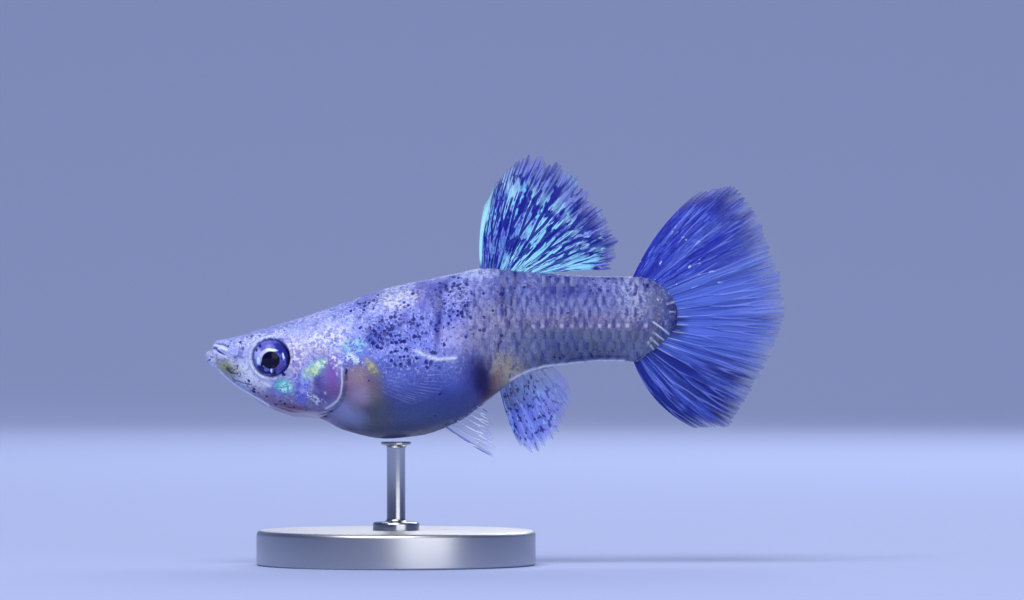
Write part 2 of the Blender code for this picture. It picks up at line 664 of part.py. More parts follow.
def main():
    for obj in list(bpy.data.objects):
        bpy.data.objects.remove(obj)
    guppy = new_collection("fancy_guppy")
    cutters = new_collection("cutters")

    skin = finish("silvery_lavender_skin", (0.52, 0.55, 0.78), 0.32)
    jaw_skin = finish("pale_jaw_skin", (0.60, 0.66, 0.88), 0.35)
    gill_plate = finish("violet_gill_plate", (0.36, 0.30, 0.58), 0.22)
    eye_surface = finish("wet_dark_eye", (0.05, 0.06, 0.25), 0.06)
    blue_fin = finish("royal_blue_fin", (0.07, 0.11, 0.55), 0.4)
    turquoise_fin = finish("turquoise_marbled_fin", (0.14, 0.33, 0.72), 0.4)
    clear_fin = finish("clear_fin", (0.62, 0.68, 0.88), 0.35)
    aluminium = finish("satin_anodised_aluminium", (0.78, 0.79, 0.81), 0.35, 1.0)
    steel = finish("polished_stainless_steel", (0.62, 0.63, 0.65), 0.2, 1.0)

    body = body_loft("body_whole", cutters)
    grown = body_loft("body_grown_by_the_gap", cutters, grown=GAP)
    make_head(body, guppy, cutters, skin)
    make_lower_jaw(body, guppy, cutters, jaw_skin)
    make_length("trunk", GILL_SLIT, STALK_CUT, body, guppy, cutters, skin)
    make_length("tail_stalk", STALK_CUT, None, body, guppy, cutters, skin)

    single = (
        ("dorsal_fin", DORSAL_RAYS, DORSAL_SWAY, DORSAL_ROWS, turquoise_fin),
        ("anal_fin", ANAL_RAYS, ANAL_SWAY, ANAL_ROWS, clear_fin),
        ("caudal_fin", tail_rays(), TAIL_SWAY, TAIL_ROWS, blue_fin),
    )
    for name, rays, sway, rows, colouring in single:
        make_fin(name, rays, lambda across, out, sway=sway: sway * out**2, rows, grown, guppy, colouring)
    for side, suffix in ((-1, "left"), (1, "right")):
        make_gill_cover(side, "gill_cover_" + suffix, body, guppy, cutters, gill_plate)
        make_eye(side, "eye_" + suffix, guppy, eye_surface)

        def pectoral_side(across, out, side=side):
            return side * (PECTORAL_ROOT_Y + PECTORAL_SPREAD * out - PECTORAL_CURL * out * out)

        def pelvic_side(across, out, side=side):
            return side * (PELVIC_ROOT_Y + PELVIC_SPREAD * out)

        paired = (
            ("pectoral_fin_", PECTORAL_RAYS, pectoral_side, PECTORAL_ROWS),
            ("pelvic_fin_", PELVIC_RAYS, pelvic_side, PELVIC_ROWS),
        )
        for name, rays, sideways, rows in paired:
            make_fin(name + suffix, rays, sideways, rows, grown, guppy, clear_fin, forked=False)
    make_stand(guppy, aluminium, steel)

    for helper in cutters.objects:
        helper.hide_render = True
        helper.display_type = "WIRE"
    for obj in guppy.objects:
        obj.data.shade_smooth()
        obj.data.set_sharp_from_angle(angle=math.radians(40))


main()
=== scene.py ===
"""A fancy guppy, an adult female, as a still life-size model on a plain display stand: its looks.

Tables of the fish are in millimetres, as in the solids: x runs back from the tip of the lower jaw, and h is
the height above the lateral axis. The fish heads along -X, with its left side to -Y.
"""

import math

import bmesh
import bpy
import numpy as np
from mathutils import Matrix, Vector


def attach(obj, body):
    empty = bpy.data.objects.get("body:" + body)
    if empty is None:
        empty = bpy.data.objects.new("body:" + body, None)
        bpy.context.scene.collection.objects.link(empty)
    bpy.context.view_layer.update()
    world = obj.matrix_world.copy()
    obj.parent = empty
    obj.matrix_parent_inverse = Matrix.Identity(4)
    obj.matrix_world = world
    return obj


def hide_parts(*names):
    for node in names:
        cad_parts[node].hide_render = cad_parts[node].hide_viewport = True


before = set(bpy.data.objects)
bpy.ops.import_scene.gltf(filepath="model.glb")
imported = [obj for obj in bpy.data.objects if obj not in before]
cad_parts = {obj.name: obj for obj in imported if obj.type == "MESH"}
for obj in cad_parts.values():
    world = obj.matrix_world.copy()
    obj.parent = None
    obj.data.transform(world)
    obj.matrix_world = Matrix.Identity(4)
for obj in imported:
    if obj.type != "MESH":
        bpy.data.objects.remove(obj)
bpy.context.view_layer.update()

MM = 0.001
SEED = 27

# Driving dimensions, the same as the solids'
TOTAL_LENGTH = 50.0
FLESH_LENGTH = 40.65
AXIS_Z = 21.0
SNOUT_X = -TOTAL_LENGTH / 2

# The photograph's frame: its size in pixels, a pixel's size at the fish, and where the jaw tip and axis lie
FRAME_WIDTH, FRAME_HEIGHT = 1024, 600
PIXEL = 0.086
JAW_TIP_PX, AXIS_PY = 205.4, 320.8
CAMERA_DISTANCE = 600.0
SENSOR_WIDTH = 36.0
CLIP = (0.01, 10.0)  # metres

# Body stations: x, back, belly, height of the greatest width, half width
BODY_STATIONS = (
    (0.0, -2.96, -3.02, -3.00, 0.01),
    (0.03, -2.83, -3.22, -3.00, 0.24),
    (0.10, -2.72, -3.42, -3.00, 0.46),
    (0.23, -2.62, -3.62, -3.00, 0.70),
    (0.45, -2.55, -3.79, -3.00, 0.94),
    (0.62, -2.52, -3.90, -3.00, 1.06),
    (0.68, -2.14, -3.94, -3.00, 1.10),
    (0.80, -1.84, -4.01, -3.01, 1.17),
    (0.99, -1.70, -4.15, -3.02, 1.27),
    (1.31, -1.63, -4.50, -3.02, 1.42),
    (1.80, -1.59, -4.98, -3.04, 1.64),
    (2.38, -1.41, -5.46, -3.07, 1.90),
    (3.0, -1.25, -5.88, -3.10, 2.15),
    (4.2, -0.86, -6.70, -3.25, 2.53),
    (5.5, -0.50, -7.50, -3.40, 2.85),
    (8.0, 0.20, -8.31, -3.90, 3.25),
    (9.6, 0.72, -8.38, -4.20, 3.45),
    (12.0, 1.58, -9.42, -4.80, 3.85),
    (15.5, 2.78, -10.13, -5.30, 4.25),
    (18.5, 3.46, -9.85, -4.90, 4.20),
    (21.5, 4.05, -8.80, -3.50, 3.65),
    (24.0, 4.52, -7.12, -1.80, 2.85),
    (27.0, 4.25, -4.85, -0.60, 2.15),
    (30.5, 3.97, -3.85, -0.10, 1.75),
    (34.0, 3.80, -3.46, 0.05, 1.40),
    (37.2, 3.78, -3.50, 0.20, 1.05),
    (40.65, 3.60, -3.50, 0.30, 0.45),
)
# How full a cross-section is: x, above the greatest width, below it
FULLNESS = (
    (0.0, 2.2, 2.2),
    (5.0, 2.7, 1.9),
    (9.5, 2.4, 1.9),
    (14.0, 2.1, 2.3),
    (22.0, 2.0, 2.2),
    (28.0, 2.0, 1.9),
    (40.65, 2.0, 2.0),
)
# The flesh is rounded off behind this x, its lower edge by this power
FLESH_ROUNDING_X, BELLY_ROUNDING = 37.2, 0.6
# Spacing of the skin's rings: from x, to x, step
RING_SPACING = (
    (0.0, 0.1, 0.012),
    (0.1, 1.3, 0.03),
    (1.3, 3.4, 0.045),
    (3.4, 13.4, 0.07),
    (13.4, 37.2, 0.13),
    (37.2, 40.6, 0.07),
)
SKIN_SIDES = 300
MIDLINE_PLAIN = 0.35  # the head's relief fades out this near the fish's middle

# How finely the distance round the body is measured: places along it, and turns from belly to back
GIRTH_STATIONS, GIRTH_TURNS = 520, 361

# Head features, on its side: (x, h) along each line
MOUTH_LINE = ((0.6, -2.36), (0.83, -2.41), (1.31, -2.70), (1.90, -3.03), (2.1, -3.14))
MOUTH_CORNER_X = 2.05
MOUTH_DEPTH = 0.35  # of the half width there
MOUTH_HALF_WIDTH, MOUTH_OPENING = 0.045, 0.025
LIP_FRONT = (0.45, 0.66)
# The upper lip's front: its x, how far it reaches back, where it starts, its lower edge, its half width, and
# how far it curves back at its sides
LIP_X, LIP_LENGTH, LIP_START, LIP_LOW_H, LIP_HALF_WIDTH, LIP_SWEEP = 0.68, 0.7, 0.6, (-2.5, -2.3), 1.1, 0.32
UPPER_LIP = ((0.76, -2.19), (1.10, -2.29), (1.50, -2.34), (1.85, -2.54))
UPPER_LIP_CREASE = ((0.90, -1.99), (1.31, -1.96), (1.69, -2.09), (1.95, -2.2))
LOWER_LIP = ((0.62, -2.62), (1.2, -2.90), (1.75, -3.24))
JAW_CREASE = ((2.05, -4.30), (2.33, -4.92), (2.55, -5.13), (2.98, -5.24), (3.51, -5.40), (4.0, -5.51))
THROAT_FOLD = ((3.6, -6.0), (6.0, -7.35), (8.4, -7.95), (9.8, -8.15))
CHEEK_FOLD = ((7.9, -1.9), (8.15, -3.6), (8.0, -5.4), (7.3, -6.6))
GILL_SLIT_END = ((12.05, -6.0), (11.5, -7.1), (10.6, -8.1), (9.75, -8.6))
# How far the skin stands out along each line, less than 0 in a groove, and over what half width
HEAD_RELIEF = (
    (UPPER_LIP, 0.12, 0.17),
    (LOWER_LIP, 0.08, 0.2),
    (UPPER_LIP_CREASE, -0.14, 0.08),
    (JAW_CREASE, -0.06, 0.10),
    (THROAT_FOLD, -0.03, 0.16),
    (CHEEK_FOLD, -0.05, 0.16),
    (GILL_SLIT_END, -0.18, 0.12),
)
# Nostrils: x, h, radius. Each is a pit with a low rim at twice its radius.
NOSTRILS = ((3.22, -2.40, 0.13), (4.0, -1.28, 0.10))
NOSTRIL_DEPTH, NOSTRIL_RIM = 0.18, 0.03
EYE_X, EYE_H = 5.76, -3.18
EYE_RADIUS, EYE_DEPTH, EYE_BULGE = 1.64, 1.35, 0.5
EYE_RINGS, EYE_SIDES, EYE_POLE = 72, 96, 0.0005  # the ball is open by this turn at each pole
LENS_RISE, LENS_EDGE = 0.05, (0.5, 0.36)  # shares of the eye's depth and radius
# The skin round the eye: distance from the eye's middle, how far it stands out there, over what half width
ORBIT_RELIEF = ((1.82, 0.10, 0.13), (2.15, -0.05, 0.18))
SOCKET_EDGE, SOCKET_DEPTH = (1.66, 1.45), 1.1
COVER_X, COVER_H, COVER_HALF_LENGTH, COVER_HALF_HEIGHT, COVER_FULLNESS = 10.1, -4.95, 1.95, 2.85, 2.3
# The gill cover's rear edge: distance outside it, how far the skin stands out there, over what half width
COVER_RELIEF = ((-0.08, 0.11, 0.12), (0.14, -0.2, 0.10))
COVER_REAR = (-0.2, 0.55)  # shares of its half length over which the edge comes free
COVER_FREE_H, COVER_SHADOW_H = (-3.1, -4.3), (-3.3, -4.2)
PECTORAL_X, PECTORAL_H = 14.75, -4.5
PECTORAL_BASE_RISE, PECTORAL_BASE_HALF_LENGTH, PECTORAL_BASE_HALF_HEIGHT = 0.16, 0.75, 1.25

# How dark the painted shade makes the skin in the line of the mouth, round the eye, in the gill cover's
# shadow and in the nostrils, and how pale the painted highlight makes the orbit's raised front rim, with the
# places of the eye's shade, the shadow and the highlight
MOUTH_SHADE, EYE_SHADE, COVER_SHADE, NOSTRIL_SHADE, ORBIT_SHINE = 0.2, 0.5, 0.6, 0.75, 0.55
EYE_SHADE_EDGE, COVER_SHADE_PLACE, COVER_SHADE_WIDTH = (1.74, 1.64), 0.15, 0.09
ORBIT_SHINE_RADIUS, ORBIT_SHINE_WIDTH, ORBIT_SHINE_X = 1.86, 0.12, (EYE_X + 0.5, EYE_X - 0.8)
# Fine marks drawn on the skin, on both sides: half width, strength, (x, h) along each. The dark ones are dark
# dashes and spots, with painted shade along the creases of the lips, jaw and gill slit
DARK_STROKES = (
    (0.05, 0.8, ((3.35, -2.21), (3.37, -2.43), (3.3, -2.6))),
    (0.05, 0.5, ((3.02, -2.21), (3.04, -2.47))),
    (0.07, 0.6, ((2.55, -3.15), (2.86, -3.04), (3.29, -3.17))),
    (0.16, 0.3, ((2.67, -3.33), (2.76, -3.8))),
    (0.08, 0.7, ((1.67, -3.82), (1.72, -3.85))),
    (0.08, 0.95, ((2.01, -4.27), (2.24, -4.42), (2.6, -4.52))),
    (0.07, 0.8, ((2.98, -4.75), (3.03, -4.77))),
    (0.06, 0.75, JAW_CREASE[1:]),
    (0.07, 0.6, UPPER_LIP_CREASE),
    (0.10, 0.4, GILL_SLIT_END),
    (0.07, 0.75, ((0.55, -3.13), (0.71, -3.1))),
    (0.06, 0.8, ((9.43, -2.29), (9.46, -2.32))),
    (0.06, 0.8, ((9.68, -5.42), (9.71, -5.45))),
    (0.05, 0.7, ((9, -5.35), (9.02, -5.37))),
    (0.06, 0.8, ((8.65, -7.36), (8.68, -7.39))),
    (0.07, 0.7, ((7.19, -7.4), (7.22, -7.43))),
    (0.09, 0.75, ((13.47, 1.44), (13.81, 1.62))),
    (0.07, 0.5, ((14.84, -4.49), (15.53, -4.49))),
    (0.19, 1.0, ((25.59, 3.77), (25.64, 2.65), (25.55, 1.53))),
    (0.19, 1.0, ((26.25, 2.85), (26.42, 2.3), (26.32, 1.3))),
    (0.17, 1.0, ((25.85, 1.0), (26.0, 0.3), (26.3, -0.55))),
    (0.17, 1.0, ((26.63, 4.2), (26.63, 3.25))),
    (0.15, 0.8, ((26.6, -1.05), (26.8, -1.9), (26.7, -2.6))),
    (0.15, 0.9, ((25.25, -1.74), (25.12, -2.51))),
    (0.13, 0.4, ((25.1, 2.6), (25.2, 1.6), (25.3, 1.0))),
    (0.13, 0.7, ((28.5, -0.3), (28.3, -0.4))),
    (0.14, 0.8, ((24.0, -1.6), (24.1, -2.4))),
    (0.12, 0.7, ((23.0, -0.5), (23.2, -1.5))),
    (0.25, 0.5, ((29.16, 3.68), (29.21, 2.82))),
    (0.14, 0.5, ((30.37, 3.68), (30.37, 2.3))),
    (0.3, 0.45, ((31.18, 3.68), (31.53, 2.82))),
    (0.12, 0.8, ((31.0, -3.35), (33.08, -3.05), (36.3, -3.07))),
    (0.1, 0.7, ((35.05, 3.68), (35.05, 3.51))),
    (0.1, 0.7, ((35.74, 3.68), (35.74, 3.51))),
    (0.12, 0.6, ((36.86, 3.42), (36.95, 3.16))),
    (0.2, 0.65, ((40.73, 2.73), (40.94, 2.39))),
    (0.3, 0.6, ((39.87, 1.44), (40.47, 0.76), (40.56, -0.28))),
    (0.22, 0.6, ((40.21, -1.05), (40.64, -1.57))),
)
# Pale lines, with painted highlights along the upper lip, the gill cover's rim and the lower jaw's edge
PALE_STROKES = (
    (0.12, 0.95, UPPER_LIP),
    (0.06, 1.0, ((11.8, -3.97), (11.86, -5.31), (11.74, -6.21), (11.44, -6.81), (10.89, -7.24),
                 (10.41, -7.5))),
    (0.10, 1.0, ((1.17, -4.19), (1.69, -4.75), (2.2, -5.22), (2.8, -5.69), (3.84, -6.3), (4.87, -6.9),
                 (5.47, -7.28))),
    (0.06, 0.35, ((5.47, -7.28), (7.28, -7.89), (9, -8.08), (9.68, -8.23))),
    (0.12, 1.0, ((5.2, -5.35), (5.6, -5.6))),
    (0.1, 0.8, ((11.58, -3.52), (11.61, -3.57))),
    (0.08, 0.8, ((11.4, -4.49), (11.44, -4.58))),
    (0.08, 0.8, ((10.37, -6.14), (10.41, -6.19))),
    (0.07, 0.8, ((9.37, -6.79), (9.42, -6.85))),
    (0.14, 0.9, ((12.83, -3.07), (12.9, -3.11))),
    (0.12, 1.0, ((18.11, -2.51), (18.97, -2.94), (20, -3.29), (21.55, -3.16))),
    (0.1, 0.5, ((23.96, -7.11), (25.34, -6.12), (26.63, -5.09), (28.26, -4.23))),
    (0.11, 1.0, ((26.28, -5.03), (27.83, -4.27), (29.29, -3.89), (33.94, -3.42), (36, -3.44))),
    (0.07, 0.8, ((36.57, 4.07), (36.57, 3.68))),
    (0.08, 0.7, ((36, 2.76), (36.04, 2.71))),
    (0.08, 0.7, ((37.03, 2.59), (37.07, 2.54))),
    (0.07, 0.8, ((38.49, -0.1), (39.18, -0.58), (39.96, -1.22))),
    (0.07, 0.7, ((38.49, -0.96), (39.4, -1.65))),
    (0.07, 0.75, ((38.28, -1.48), (39.14, -2.25))),
    (0.07, 0.7, ((38.06, -1.82), (38.67, -2.64))),
    (0.07, 0.75, ((39.7, 1.44), (40.56, 1.7))),
    (0.06, 0.6, ((39.96, 0.78), (40.39, 0.78))),
    (0.07, 0.8, ((38.88, 1.85), (38.92, 1.81))),
    (0.06, 0.6, ((39.87, 2.39), (40.64, 2.82))),
)

# Scales, in rows numbered from the lateral line up
ROW_PITCH = 0.98
SCALE_ROWS = range(-11, 9)
ROW_REACH = 0.2  # how far past the middle of the back or belly a row may lie
SCALE_PITCH = ((6.0, 0.92), (14.0, 1.02), (22.0, 0.98), (30.0, 0.82), (41.0, 0.78))
LATERAL_LINE = ((6.0, -1.2), (12.0, -0.9), (20.0, -0.45), (30.0, -0.25), (41.0, -0.2))
# The edge of the bare head, as h and x, and how far behind it the first scales have their middles
BARE_HEAD_EDGE = (
    (-11.0, 10.0),
    (-8.6, 10.7),
    (-7.2, 11.9),
    (-5.5, 12.6),
    (-3.5, 12.75),
    (-1.5, 12.3),
    (5.0, 10.3),
)
BARE_MARGIN = 0.25
CROWN_START_X, CROWN_LOW_H, CROWN_SLOPE = 6.7, -1.1, 0.05
LAST_SCALE_X = 37.9
PECTORAL_BARE_HALF_LENGTH, PECTORAL_BARE_HALF_HEIGHT = 0.75, 1.2
SCALE_HALF_LENGTH, SCALE_HALF_WIDTH = 0.92, 0.68  # shares of the pitch along and between the rows
SCALE_ROUNDING, SCALE_TAPER = 0.30, 0.10  # how far the rear corners fall back, and the front narrows
SCALE_FORWARD = 0.2  # a scale's middle lies this far ahead of its place
SIZE_SPREAD, TILT_SPREAD, TILT_LIMIT = 0.05, 0.2, 1.5
SCALE_RISE = ((8.0, 0.010), (20.0, 0.011), (26.0, 0.022), (41.0, 0.026))
SCALE_THICKNESS, SCALE_SINK = 0.014, 0.03
RISE_POWER = 0.8  # a scale rises by this power of the share of its length
SCALE_STEPS = 8
EDGE_FALL, EDGE_SHARPNESS = 0.35, 10  # a scale thins by this share of its thickness, close to its edge
EDGE_TINT_ROUNDING = 0.12  # how far the colour of its rear edge follows the corners
BODY_MIDDLE_H = -3.5  # a height inside the body all along it
# The bake map: half a scale's patch, and each side's middle and reach on it, from the map's middle
BAKE_PATCH, BAKE_MIDDLE, BAKE_REACH = 0.0015, 0.25, 0.24
SCALE_CREASE = math.radians(35)  # an edge sharper than this shows as one

# Fins, the same rays as the solids': root x and h, tip x and h, bow
DORSAL_RAYS = (
    (23.70, 3.7, 24.05, 10.25, 0.30),
    (24.20, 3.7, 25.60, 12.80, 0.30),
    (24.75, 3.7, 28.00, 14.50, 0.25),
    (25.35, 3.7, 30.70, 13.55, 0.15),
    (25.95, 3.6, 33.00, 11.45, 0.05),
    (26.45, 3.6, 34.55, 9.05, 0.0),
    (26.95, 3.6, 35.60, 6.70, 0.0),
    (27.50, 3.8, 35.15, 4.35, 0.2),
)
ANAL_RAYS = (
    (25.20, -5.2, 27.10, -10.90, -0.25),
    (25.90, -4.8, 28.25, -11.45, -0.2),
    (26.60, -4.4, 29.45, -11.05, -0.1),
    (27.30, -4.1, 30.35, -9.80, 0.0),
    (27.95, -3.8, 31.10, -8.35, 0.0),
    (28.55, -3.6, 31.60, -6.95, 0.1),
    (29.15, -3.4, 31.45, -5.55, 0.1),
)
PECTORAL_RAYS = (
    (14.60, -3.45, 18.00, -2.30, 0.15),
    (14.60, -3.80, 20.20, -2.55, 0.15),
    (14.60, -4.15, 21.60, -3.25, 0.1),
    (14.60, -4.50, 21.80, -4.40, 0.0),
    (14.60, -4.85, 21.00, -5.70, -0.1),
    (14.60, -5.20, 19.60, -6.70, -0.15),
    (14.60, -5.55, 17.90, -7.15, -0.15),
)
PELVIC_RAYS = (
    (20.05, -8.75, 25.15, -11.90, -0.15),
    (20.80, -8.35, 25.25, -10.85, -0.1),
    (21.60, -7.9, 25.05, -9.85, 0.0),
    (22.20, -7.5, 24.80, -8.80, 0.0),
    (22.80, -7.0, 24.45, -7.90, 0.0),
)
TAIL_CENTRE_X, TAIL_CENTRE_H = 38.67, 0.69
TAIL_MARGIN = (
    (-70.5, 10.6),
    (-60.0, 11.7),
    (-43.0, 11.1),
    (-25.0, 10.65),
    (0.0, 11.3),
    (20.0, 11.45),
    (43.0, 12.2),
    (53.0, 13.2),
    (60.0, 12.95),
    (65.0, 12.15),
    (69.5, 11.2),
)
TAIL_ROOT_X, TAIL_ROOT_H = 36.8, 0.3
TAIL_ROOT_HALF_LENGTH, TAIL_ROOT_HALF_HEIGHT = 2.7, 3.0
TAIL_ROOT_SPAN = 95.0
TAIL_LINES = 13
TAIL_BOW_LOWER, TAIL_BOW_UPPER = 1.0, 0.7
# A branch's spread from its ray, from where to where about a fork it parts, its half width at the root, and
# how much less that is at the tip, all in rays or in shares of the length
BRANCH_SPREAD, FORK_OPENS, BRANCH_WIDTH, BRANCH_TAPER = 0.25, (-0.08, 0.16), 0.085, 0.035
# Shares by which membrane and rays thin towards the margin, and what is left of the thickness on the margin
MEMBRANE_TAPER, RAY_TAPER, LAST_EDGE = 0.6, 0.75, 0.25
# The fin's soft wave to the side: its height, how it turns across and along, and how it grows outward
WAVE, WAVE_PER_RAY, WAVE_ALONG, WAVE_POWER = 0.10, 2.3, 3, 1.5
# The margin's fraying: the notch between two tips and how far it strays, the straying of a tip, the notch
# between whole rays, and how close to the margin it all keeps
NOTCH, NOTCH_STRAY, TIP_STRAY, RAY_NOTCH, FRAY_POWER = 0.3, 0.7, 0.7, 0.8, 6
# How each fin is built: rays shown before they branch, columns of points for each, rows of points, where
# along the fin its rays fork, how far its margin frays, thickness of membrane and rays, and how far it stands
# to the side, at its root and then with its length and the square of that
DORSAL_SHOWN, ANAL_SHOWN, TAIL_SHOWN = 12, 9, 18
DORSAL_BUILD = (DORSAL_SHOWN, 16, 80, (0.4, 0.66), 0.045, 0.09, 0.14, (0, 0, 0.5))
ANAL_BUILD = (ANAL_SHOWN, 14, 50, (0.45, 0.72), 0.07, 0.09, 0.14, (0, 0, 0.3))
TAIL_BUILD = (TAIL_SHOWN, 22, 90, (0.38, 0.64), 0.035, 0.09, 0.10, (0, 0, 1.3))
PECTORAL_BUILD = (12, 8, 40, (0.5,), 0.05, 0.05, 0.10, (3.59, 3.9, -0.9))
PELVIC_BUILD = (6, 10, 36, (0.55,), 0.12, 0.05, 0.14, (0.7, 1.4, 0))

# Stand
STAND_X = 16.4
BASE_RADIUS, BASE_THICKNESS, BASE_EDGE = 12.0, 3.0, 0.4
ROD_RADIUS = 0.8
ROD_FOOT_RADIUS, ROD_FOOT_HEIGHT, ROD_FOOT_EDGE, ROD_FILLET = 2.0, 0.7, 0.25, 0.3
ROD_PAD_RADIUS, ROD_PAD_HEIGHT, ROD_PAD_RIM = 1.3, 0.6, 0.22
BASE_FOOT_EDGE, PAD_EDGE = 0.15, 0.06
CLEARANCE, ROD_LIFT = 0.3, 0.02
TURNING_STEPS, EDGE_STEPS, NECK_STEPS = 128, 6, 8
TURNED_CREASE = math.radians(30)
AXIS_RADIUS = 0.01  # a turned piece's ends are open by this radius, too small to see

# The studio's floor and walls, in metres
FLOOR_RADIUS, WALL_RADIUS, WALL_HEIGHT = 0.68, 1.7, 2.0
SWEEP_STEPS, SWEEP_SIDES = 40, 96
FLOOR_HOLE = 0.0005  # the floor's middle, hidden under the stand
# Its lamps: name, place, what it is aimed at, width and height, watts
FISH_MIDDLE = (0, 0, 0.022)
LAMPS = (
    ("key_above_front", (-0.12, -0.30, 0.55), FISH_MIDDLE, (0.45, 0.35), 3.4),
    ("fill_front", (0.25, -0.55, 0.15), FISH_MIDDLE, (0.5, 0.4), 1.15),
    ("rim_behind", (0.15, 0.45, 0.35), FISH_MIDDLE, (0.5, 0.3), 1.5),
    ("backdrop", (0.0, 0.5, 0.85), (0.0, 1.4, 0.0), (0.8, 0.3), 3.4),
)
ROOM_LIGHT, ROOM_STRENGTH = "#dfe5f5", 0.32


def monotone(knots, values):
    """A smooth line through the stations that never swings past one."""
    knots, values = np.asarray(knots, float), np.asarray(values, float)
    width = np.diff(knots)
    rise = np.diff(values) / width
    slope = np.concatenate([rise[:1], np.zeros(len(knots) - 2), rise[-1:]])
    before, after = 2 * width[1:] + width[:-1], width[1:] + 2 * width[:-1]
    same_way = rise[:-1] * rise[1:] > 0
    first, second = np.where(same_way, rise[:-1], 1), np.where(same_way, rise[1:], 1)
    slope[1:-1] = np.where(same_way, (before + after) / (before / first + after / second), 0)

    def at(x):
        x = np.clip(x, knots[0], knots[-1])
        i = np.clip(np.searchsorted(knots, x) - 1, 0, len(width) - 1)
        t = (x - knots[i]) / width[i]
        ends = values[i] * (1 + 2 * t) * (1 - t) ** 2 + values[i + 1] * t * t * (3 - 2 * t)
        return ends + width[i] * (slope[i] * t * (1 - t) ** 2 - slope[i + 1] * t * t * (1 - t))

    return at


def columns_of(table):
    """One smooth line for each column of a table, against its first column."""
    knots, *columns = zip(*table)
    return [monotone(knots, column) for column in columns]


back_line, belly_line, widest_line, half_width_line = columns_of(BODY_STATIONS)
full_above, full_below = columns_of(FULLNESS)
(mouth_line,) = columns_of(MOUTH_LINE)
(lateral_line,) = columns_of(LATERAL_LINE)
(bare_head_edge,) = columns_of(BARE_HEAD_EDGE)
(scale_pitch,) = columns_of(SCALE_PITCH)


def ease(low, high, value):
    """0 below low and 1 above high, easing between. low may be the greater of the two."""
    t = np.clip((value - low) / (high - low), 0, 1)
    return t * t * (3 - 2 * t)


def hump(distance, width):
    """1 at no distance, falling away over width."""
    return np.exp(-((distance / width) ** 2))


def section(x):
    """Back, belly, height of the greatest width and half width at x, the end of the flesh rounded off."""
    back, belly, widest, half = back_line(x), belly_line(x), widest_line(x), half_width_line(x)
    past = np.clip((x - FLESH_ROUNDING_X) / (FLESH_LENGTH - FLESH_ROUNDING_X), 0, 1)
    back = widest + (back - widest) * np.sqrt(1 - past * past)
    belly = widest + (belly - widest) * (1 - past) ** BELLY_ROUNDING
    return back, belly, widest, half


def body_at(x, turn):
    """y and h on the plain body at x and a turn from its right side's greatest width, up over the back."""
    back, belly, widest, half = section(x)
    c, s = np.cos(turn), np.sin(turn)
    upper = s > 0
    full = np.where(upper, full_above(x), full_below(x))
    y = half * np.sign(c) * np.abs(c) ** (2 / full)
    h = widest + (np.where(upper, back, belly) - widest) * np.abs(s) ** (2 / full)
    return y, h


def flank(x, h):
    """Half width of the body at x and height h."""
    back, belly, widest, half = section(x)
    upper = h > widest
    full = np.where(upper, full_above(x), full_below(x))
    share = np.minimum(np.abs((h - widest) / (np.where(upper, back, belly) - widest)), 1)
    return half * (1 - share**full) ** (1 / full)


def to_world(x, y, h):
    """Points of the fish's tables as rows of x, y, z in metres in the part's frame."""
    return np.stack([(x + SNOUT_X) * MM, y * MM, (h + AXIS_Z) * MM], axis=-1)


def distance_to(line, x, h):
    """Distance of each point (x, h) from a line of straight stretches."""
    nearest = np.full(np.shape(x), np.inf)
    for (x0, h0), (x1, h1) in zip(line, line[1:]):
        length2 = (x1 - x0) ** 2 + (h1 - h0) ** 2
        t = np.clip(((x - x0) * (x1 - x0) + (h - h0) * (h1 - h0)) / length2, 0, 1)
        nearest = np.minimum(nearest, np.hypot(x - x0 - t * (x1 - x0), h - h0 - t * (h1 - h0)))
    return nearest


def make_mesh(name, points, faces, attributes=None, uv=None):
    """A mesh object from rows of points and of faces, with named numbers at its points."""
    faces = np.asarray(faces, np.int32)
    sides = faces.shape[1]
    mesh = bpy.data.meshes.new(name)
    mesh.vertices.add(len(points))
    mesh.vertices.foreach_set("co", np.asarray(points, np.float32).ravel())
    mesh.loops.add(faces.size)
    mesh.loops.foreach_set("vertex_index", faces.ravel())
    mesh.polygons.add(len(faces))
    mesh.polygons.foreach_set("loop_start", np.arange(0, faces.size, sides, dtype=np.int32))
    mesh.update(calc_edges=True)
    for key, values in (attributes or {}).items():
        layer = mesh.attributes.new(key, "FLOAT", "POINT")
        layer.data.foreach_set("value", np.asarray(values, np.float32).ravel())
    for key, places in (uv or {}).items():
        layer = mesh.uv_layers.new(name=key)
        layer.data.foreach_set("uv", np.asarray(places, np.float32)[faces.ravel()].ravel())
    mesh.shade_smooth()
    mesh.validate()
    obj = bpy.data.objects.new(name, mesh)
    bpy.context.scene.collection.objects.link(obj)
    return obj


def grid_faces(rows, columns, closed=False, offset=0):
    """Four-sided faces over a grid of points, row by row. A closed grid's last column joins its first."""
    r = np.arange(rows - 1)[:, None]
    c = np.arange(columns if closed else columns - 1)[None, :]
    d = (c + 1) % columns
    here, there = r * columns, (r + 1) * columns
    return offset + np.stack([here + c, here + d, there + d, there + c], -1).reshape(-1, 4)


def slab_faces(rows, columns):
    """Faces of a closed slab between two grids of points: one side, the other, and the edge all round."""
    count = rows * columns
    r, c = np.arange(rows - 1), np.arange(columns - 1)
    ring = np.concatenate([c, r * columns + columns - 1, count - 1 - c, (rows - 1 - r) * columns])
    following = np.roll(ring, -1)
    edge = np.stack([following, ring, ring + count, following + count], -1)
    return np.concatenate([grid_faces(rows, columns), grid_faces(rows, columns, offset=count)[:, ::-1], edge])


def grid_normals(points, closed=False):
    """Unit normals over a grid of points, rows by columns by 3, or over a stack of such grids."""
    along = np.gradient(points, axis=-3)
    if closed:
        around = np.roll(points, -1, -2) - np.roll(points, 1, -2)
    else:
        around = np.gradient(points, axis=-2)
    normal = np.cross(around, along)
    return normal / np.maximum(np.linalg.norm(normal, axis=-1, keepdims=True), 1e-12)


